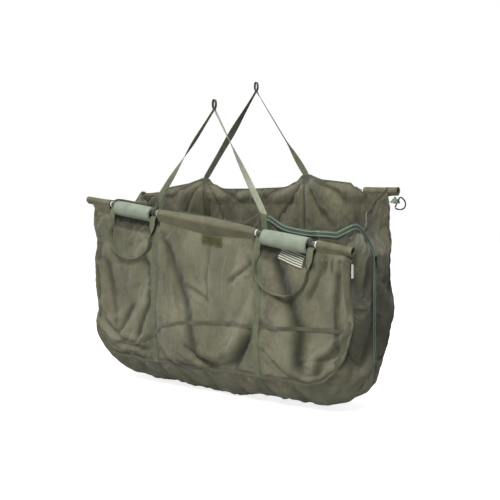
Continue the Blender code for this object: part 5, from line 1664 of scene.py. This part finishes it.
def slider_and_pull(end, end_name):
    """A cast slider with a waisted body and bridge, and a tapered pull with a cord hole."""
    face = end * (end_wall_x(0, SLIDER_HEIGHT) + CLOTH / 2 + 0.0005 + 0.0012)
    rows = []
    for k in range(9):
        z = SLIDER_LENGTH / 2 - SLIDER_LENGTH * k / 8
        half = SLIDER_HALF_WIDTH - SLIDER_WAIST * math.cos(math.pi * k / 4) * (1 if k < 5 else 0.4)
        thick = SLIDER_HALF_THICKNESS - 0.0006 * abs(2 * k / 8 - 1) ** 3
        ring = []
        for j in range(16):
            turn = 2 * math.pi * j / 16
            squarish = (abs(math.cos(turn)) ** 0.5, abs(math.sin(turn)) ** 0.5)
            y = math.copysign(half * squarish[0], math.cos(turn))
            out = 0.0028 + math.copysign(thick * squarish[1], math.sin(turn))
            ring.append((face + end * out, y, SLIDER_HEIGHT + z))
        rows.append(ring)
    body = surface(end_name + "_slider_plate", rows, FINISHES["metal"], closed=True)
    arch = []
    for k in range(13):
        turn = math.pi * k / 12
        z = SLIDER_HEIGHT + BRIDGE_REACH * math.cos(turn)
        out = 0.0045 + BRIDGE_RISE * math.sin(turn)
        heading = Vector((0, 0, 1)) * -math.sin(turn) + Vector((end, 0, 0)) * math.cos(turn)
        normal = heading.cross(Vector((0, 1, 0)))
        centre, across = Vector((face + end * out, 0, z)), Vector((0, BRIDGE_HALF_WIDTH, 0))
        arch.append(oval(centre, across, normal * BRIDGE_HALF_THICKNESS))
    bridge = surface(end_name + "_slider_arch", arch, FINISHES["metal"], closed=True)
    made = softened(joined(end_name + "_slider_body", [body, bridge]))
    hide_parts(end_name + "_zip_slider")
    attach(made, end_name + "_slider")
    hang = face + end * (0.0009 + 0.0005 + 0.0024 + 0.0014 + 0.0009)
    outline = []
    for turn in turns(40):
        z = -PULL_MIDDLE + PULL_HALF_LENGTH * math.cos(turn)
        half = PULL_HALF_WIDTH * abs(math.sin(turn)) ** 0.6 * (1.0 - PULL_TAPER_SHARE * math.cos(turn))
        outline.append((math.copysign(half, math.sin(turn)), z))
    hole = []
    for turn in turns(40):
        hole.append((HOLE_HALF_WIDTH * math.sin(turn), HOLE_HALF_HEIGHT * (math.cos(turn) - 1)))
    rings = []
    for shape, out, share in (
        (hole, -PULL_HALF_THICKNESS, 1),
        (outline, -PULL_HALF_THICKNESS, 0.93),
        (outline, -0.0002, 1),
        (outline, 0.0002, 1),
        (outline, PULL_HALF_THICKNESS, 0.93),
        (hole, PULL_HALF_THICKNESS, 1),
        (hole, -PULL_HALF_THICKNESS, 1),
    ):
        ring = []
        for y, z in shape:
            height = SLIDER_HEIGHT - 0.0002 + (z + PULL_MIDDLE) * share - PULL_MIDDLE
            ring.append((hang + end * out, y * share, height))
        rings.append(ring)
    pull = surface(end_name + "_pull_plate", rings, FINISHES["metal"], closed=True)
    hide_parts(end_name + "_zip_pull")
    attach(pull, end_name + "_pull")


# Section of the tape folded over an end's top edge: down from the edge, and outwards
TOP_BINDING = ((0.010, 0.0012), (-0.0004, 0.0013), (-0.0014, 0), (-0.0004, -0.0013), (0.010, -0.0012))


def end_bindings(loose, points):
    """Folded tape over each end's top edge."""
    gusset = np.array(loose.gusset)
    half = ACROSS // 2
    for end, end_name in ENDS:
        row = points[gusset[0 if end == LEFT else -1]]
        below = points[gusset[2 if end == LEFT else -3]]
        for side, side_name in SIDES:
            picks = range(half + 1) if side == FRONT else range(half, ACROSS + 1)
            tube = []
            for v in picks:
                top, low = Vector(row[v]), Vector(below[v])
                down = (low - top).normalized()
                out = Vector((end, 0, 0))
                tube.append([top + down * lower + out * outer for lower, outer in TOP_BINDING])
            made = softened(surface(f"{end_name}_top_binding_{side_name}", tube, FINISHES["hem"]))
            fold_with(made)


# Labels, tab and carried parts


NAME_LABEL_MIDDLE = 0.033
CARE_LABEL_MIDDLE, CARE_LABEL_HALF_WIDTH, CARE_LABEL_DEPTH, CARE_LABEL_SLOPE = 0.372, 0.050, 0.042, 0.16
SIDE_LABEL_TOP, SIDE_LABEL_DEPTH, SIDE_LABEL_WIDTH = 0.505, 0.046, 0.010


def evened(columns, times, lift):
    """Evens a label out along the wall that it lies on, and lifts it off the cloth."""
    grid = np.array(columns)
    for _ in range(times):
        grid[1:-1, :, 1] = (grid[:-2, :, 1] + grid[2:, :, 1]) / 2
    grid[:, :, 1] -= lift
    return grid


def name_label(skin):
    """The woven label under the front centre sleeve, with a row of stitches along its lower edge."""
    columns = []
    for k in range(25):
        x = NAME_LABEL_MIDDLE + NAME_LABEL_HALF_WIDTH * (2 * k / 24 - 1)
        top = panel_top(FRONT, x) - 0.0012
        columns.append([skin.wall(FRONT, x, top - NAME_LABEL_DEPTH * j / 10, 0.0016) for j in range(11)])
    grid = evened(columns, 6, 0.0010)
    made = surface("name_label_woven", grid, FINISHES["label"])
    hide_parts("name_label")
    line = [Vector(column[-1]) + Vector((0, -0.0004, 0.002)) for column in grid]
    rides("front_side", made, stitches("name_label_stitches", line, (0, -1, 0), FINISHES["thread"]))


def care_label(skin):
    """The printed label behind the front right grip, which slopes down to the right."""
    columns = []
    for k in range(25):
        x = CARE_LABEL_MIDDLE + CARE_LABEL_HALF_WIDTH * (2 * k / 24 - 1)
        top = panel_top(FRONT, x) - 0.0015 - CARE_LABEL_SLOPE * (x - CARE_LABEL_MIDDLE)
        highest = panel_top(FRONT, x) - 0.0025
        heights = [top - CARE_LABEL_DEPTH * j / 8 for j in range(9)]
        places = [skin.wall(FRONT, wall_x(FRONT, x), min(height, highest), 0.0030) for height in heights]
        columns.append([(place[0], place[1], height) for place, height in zip(places, heights)])
    made = surface("care_label_printed", evened(columns, 12, 0.0015), FINISHES["stripes"])
    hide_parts("care_label")
    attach(made, "front_side")


def side_label():
    """The white ribbon sewn into the front right seam, curled a little."""
    grid = []
    for k in range(7):
        y = -HALF_SPACING + 0.006 + SIDE_LABEL_WIDTH * k / 6
        share = y / HALF_SPACING
        curl = 0.0030 * math.sin(math.pi * k / 6)
        column = []
        for j in range(13):
            height = SIDE_LABEL_TOP - SIDE_LABEL_DEPTH * j / 12
            x = end_wall_x(share, height) + 0.0042 + curl + seam_wave(RIGHT, height, share)
            column.append((x, y, height))
        grid.append(column)
    made = surface("side_label_ribbon", grid, FINISHES["white"])
    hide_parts("side_label")
    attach(made, "bag_base")


TAB_SLOPE, TAB_TWIST, TAB_TACK_TWIST = math.radians(28), math.radians(52), math.radians(38)
TAB_LENGTH, TAB_WIDTH, TAB_FOLD_RADIUS = 0.022, 0.030, 0.0031


def ring_tab():
    """Webbing folded round the D-ring's bar, sewn to the rear right corner."""
    root = Vector(on_pole(REAR, 0.586, 0, -0.0296))
    down = Vector((math.cos(TAB_SLOPE), 0, -math.sin(TAB_SLOPE)))
    up = Vector((math.sin(TAB_SLOPE), 0, math.cos(TAB_SLOPE)))
    bar = root + down * TAB_LENGTH

    def rolled(roll):
        face = up * math.cos(roll) - Vector((0, math.sin(roll), 0))
        return face, Vector((0, math.cos(roll), 0)) + up * math.sin(roll)

    stations = []
    for layer, steps in ((1, range(9)), (-1, range(8, -1, -1))):
        for k in steps:
            face, across = rolled(TAB_TWIST * (1 - k / 9))
            off = layer * lerp(0.0009, TAB_FOLD_RADIUS, eased(k, 4, 8))
            stations.append((root + down * (TAB_LENGTH * k / 8) + face * off, across, face * layer, 1))
        if layer > 0:
            for k in range(1, 12):
                turn = math.pi / 2 - math.pi * k / 12
                out = down * math.cos(turn) + up * math.sin(turn)
                stations.append((bar + out * TAB_FOLD_RADIUS, (0, 1, 0), out, 1))
    made = webbing("d_ring_tab_webbing", stations, FINISHES["tab"], TAB_WIDTH)
    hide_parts("d_ring_tab")
    face, across = rolled(TAB_TACK_TWIST)
    centre = root + down * 0.007 + face * 0.0021
    tack = bar_tack("d_ring_tab_tack", centre, across, down, face, FINISHES["thread"], 0.024, 0.010)
    rides("rear_side", made, tack)


WIRE_FULLER = 0.0006  # how much fuller the D-ring's cast wire is than the CAD's


def carried_parts():
    """CAD nodes whose shape is right, with their real finishes."""
    for _, name in SIDES:
        dress(name + "_pole", "pole")
        for _, end_name in ENDS:
            dress(f"{name}_{end_name}_pole_plug", "plug")
            for place in ("inner", "outer"):
                dress(f"{name}_{end_name}_{place}_collar", "collar")
    fuller = dress("d_ring", "ring").modifiers.new("fuller", "DISPLACE")
    fuller.strength, fuller.mid_level = WIRE_FULLER, 0


def dress(node, finish):
    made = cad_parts[node]
    made.data.materials[0] = FINISHES[finish]
    return made


# Studio


FLOOR_REACH, FLOOR_STEPS, FLOOR_DROP, FLOOR_GLOW = 9.0, 12, 0.030, 0.78
LIGHT_AIM = (0, -0.1, -0.75)
LIGHTS = (  # name, place, size in metres and power in watts
    ("key", (1.5, -3.2, 1.9), 1.3, 122),
    ("low", (0.7, -3.0, -0.85), 0.6, 12),
    ("fill", (-3.2, -1.2, 0.3), 2.0, 8),
    ("top", (-0.3, 0.1, 2.4), 1.8, 40),
)


def white_paper():
    """The floor's paper, which glows white to the camera and is grey to what it lights."""
    made, tree, shader = new_material("floor_matt_white_paper", 0.9)
    seen = add(tree, "LightPath", output="Is Camera Ray")
    paper = add(tree, "Mix", COLOURS, {0: patchy(tree, 0.8, 2), 6: "fafafa", 7: "ffffff"}, 2)
    colour = add(tree, "Mix", COLOURS, {0: seen, 6: "a0a098", 7: paper}, 2)
    set_sockets(tree, shader, {"Base Color": colour})
    glow = add(tree, "Emission", {}, {"Color": "ffffff", "Strength": FLOOR_GLOW})
    dark = add(tree, "Emission", {}, {"Color": "000000", "Strength": 0.0})
    lit = add(tree, "MixShader", {}, {0: seen, 1: dark, 2: glow})
    total = add(tree, "AddShader", {}, {0: shader.outputs[0], 1: lit})
    set_sockets(tree, tree.nodes["Material Output"], {"Surface": total})
    return made


def floor():
    mesh = bpy.data.meshes.new("floor")
    low = -HANG_POINT[2] - FLOOR_DROP
    steps = [(-FLOOR_REACH + 2 * FLOOR_REACH * k / FLOOR_STEPS) for k in range(FLOOR_STEPS + 1)]
    across = len(steps)
    firsts = [i * across + j for i in range(FLOOR_STEPS) for j in range(FLOOR_STEPS)]
    faces = [(k, k + 1, k + across + 1, k + across) for k in firsts]
    mesh.from_pydata([(x, y, low) for x in steps for y in steps], [], faces)
    mesh.materials.append(white_paper())
    made = bpy.data.objects.new("floor", mesh)
    bpy.context.collection.objects.link(made)


def studio():
    """White paper and a white background to the camera, soft light from all round and four lamps."""
    floor()
    world = bpy.data.worlds.new("studio")
    bpy.context.scene.world = world
    world.use_nodes = True
    tree = world.node_tree
    tree.nodes.clear()
    seen = add(tree, "LightPath", output="Is Camera Ray")
    soft = add(tree, "Background", {}, {"Color": (0.94, 0.96, 1.0, 1), "Strength": 0.32})
    white = add(tree, "Background", {}, {"Color": (1, 1, 1, 1), "Strength": 1.0})
    blend = add(tree, "MixShader", {}, {0: seen, 1: soft, 2: white})
    add(tree, "OutputWorld", {}, {0: blend})
    for name, place, size, power in LIGHTS:
        light = bpy.data.lights.new(name, "AREA")
        light.size = size
        light.energy = power
        made = bpy.data.objects.new(name, light)
        made.location = place
        aim = Vector(LIGHT_AIM) - Vector(place)
        made.rotation_euler = aim.to_track_quat("-Z", "Y").to_euler()
        bpy.context.collection.objects.link(made)
    bpy.context.scene.view_settings.view_transform = "Standard"


# Fitted to the photograph: its width and focal length in pixels, a sensor in millimetres, and degrees
PICTURE_WIDTH, FOCAL_LENGTH, SENSOR_WIDTH = 500, 820, 36
CAMERA_TURN, CAMERA_DROP = 35.5, 4.2
CAMERA_PLACE = (1.851, -2.637, -0.416)


def camera():
    lens = bpy.data.cameras.new("camera")
    lens.sensor_width = SENSOR_WIDTH
    lens.lens = FOCAL_LENGTH / PICTURE_WIDTH * SENSOR_WIDTH
    made = bpy.data.objects.new("camera", lens)
    made.location = CAMERA_PLACE
    made.rotation_euler = (math.radians(90 - CAMERA_DROP), 0, math.radians(CAMERA_TURN))
    bpy.context.collection.objects.link(made)
    bpy.context.scene.camera = made


def main():
    camera()
    studio()
    loose = LooseBag()
    points = settled(loose)
    skin = Skin()
    bag_cloth(loose, points, skin)
    flaps()
    sleeves()
    handles()
    girth_webbing(skin)
    seam_tapes(loose, points, skin)
    end_zips(skin)
    mouth_zip()
    end_bindings(loose, points)
    name_label(skin)
    care_label(skin)
    side_label()
    ring_tab()
    carried_parts()


main()
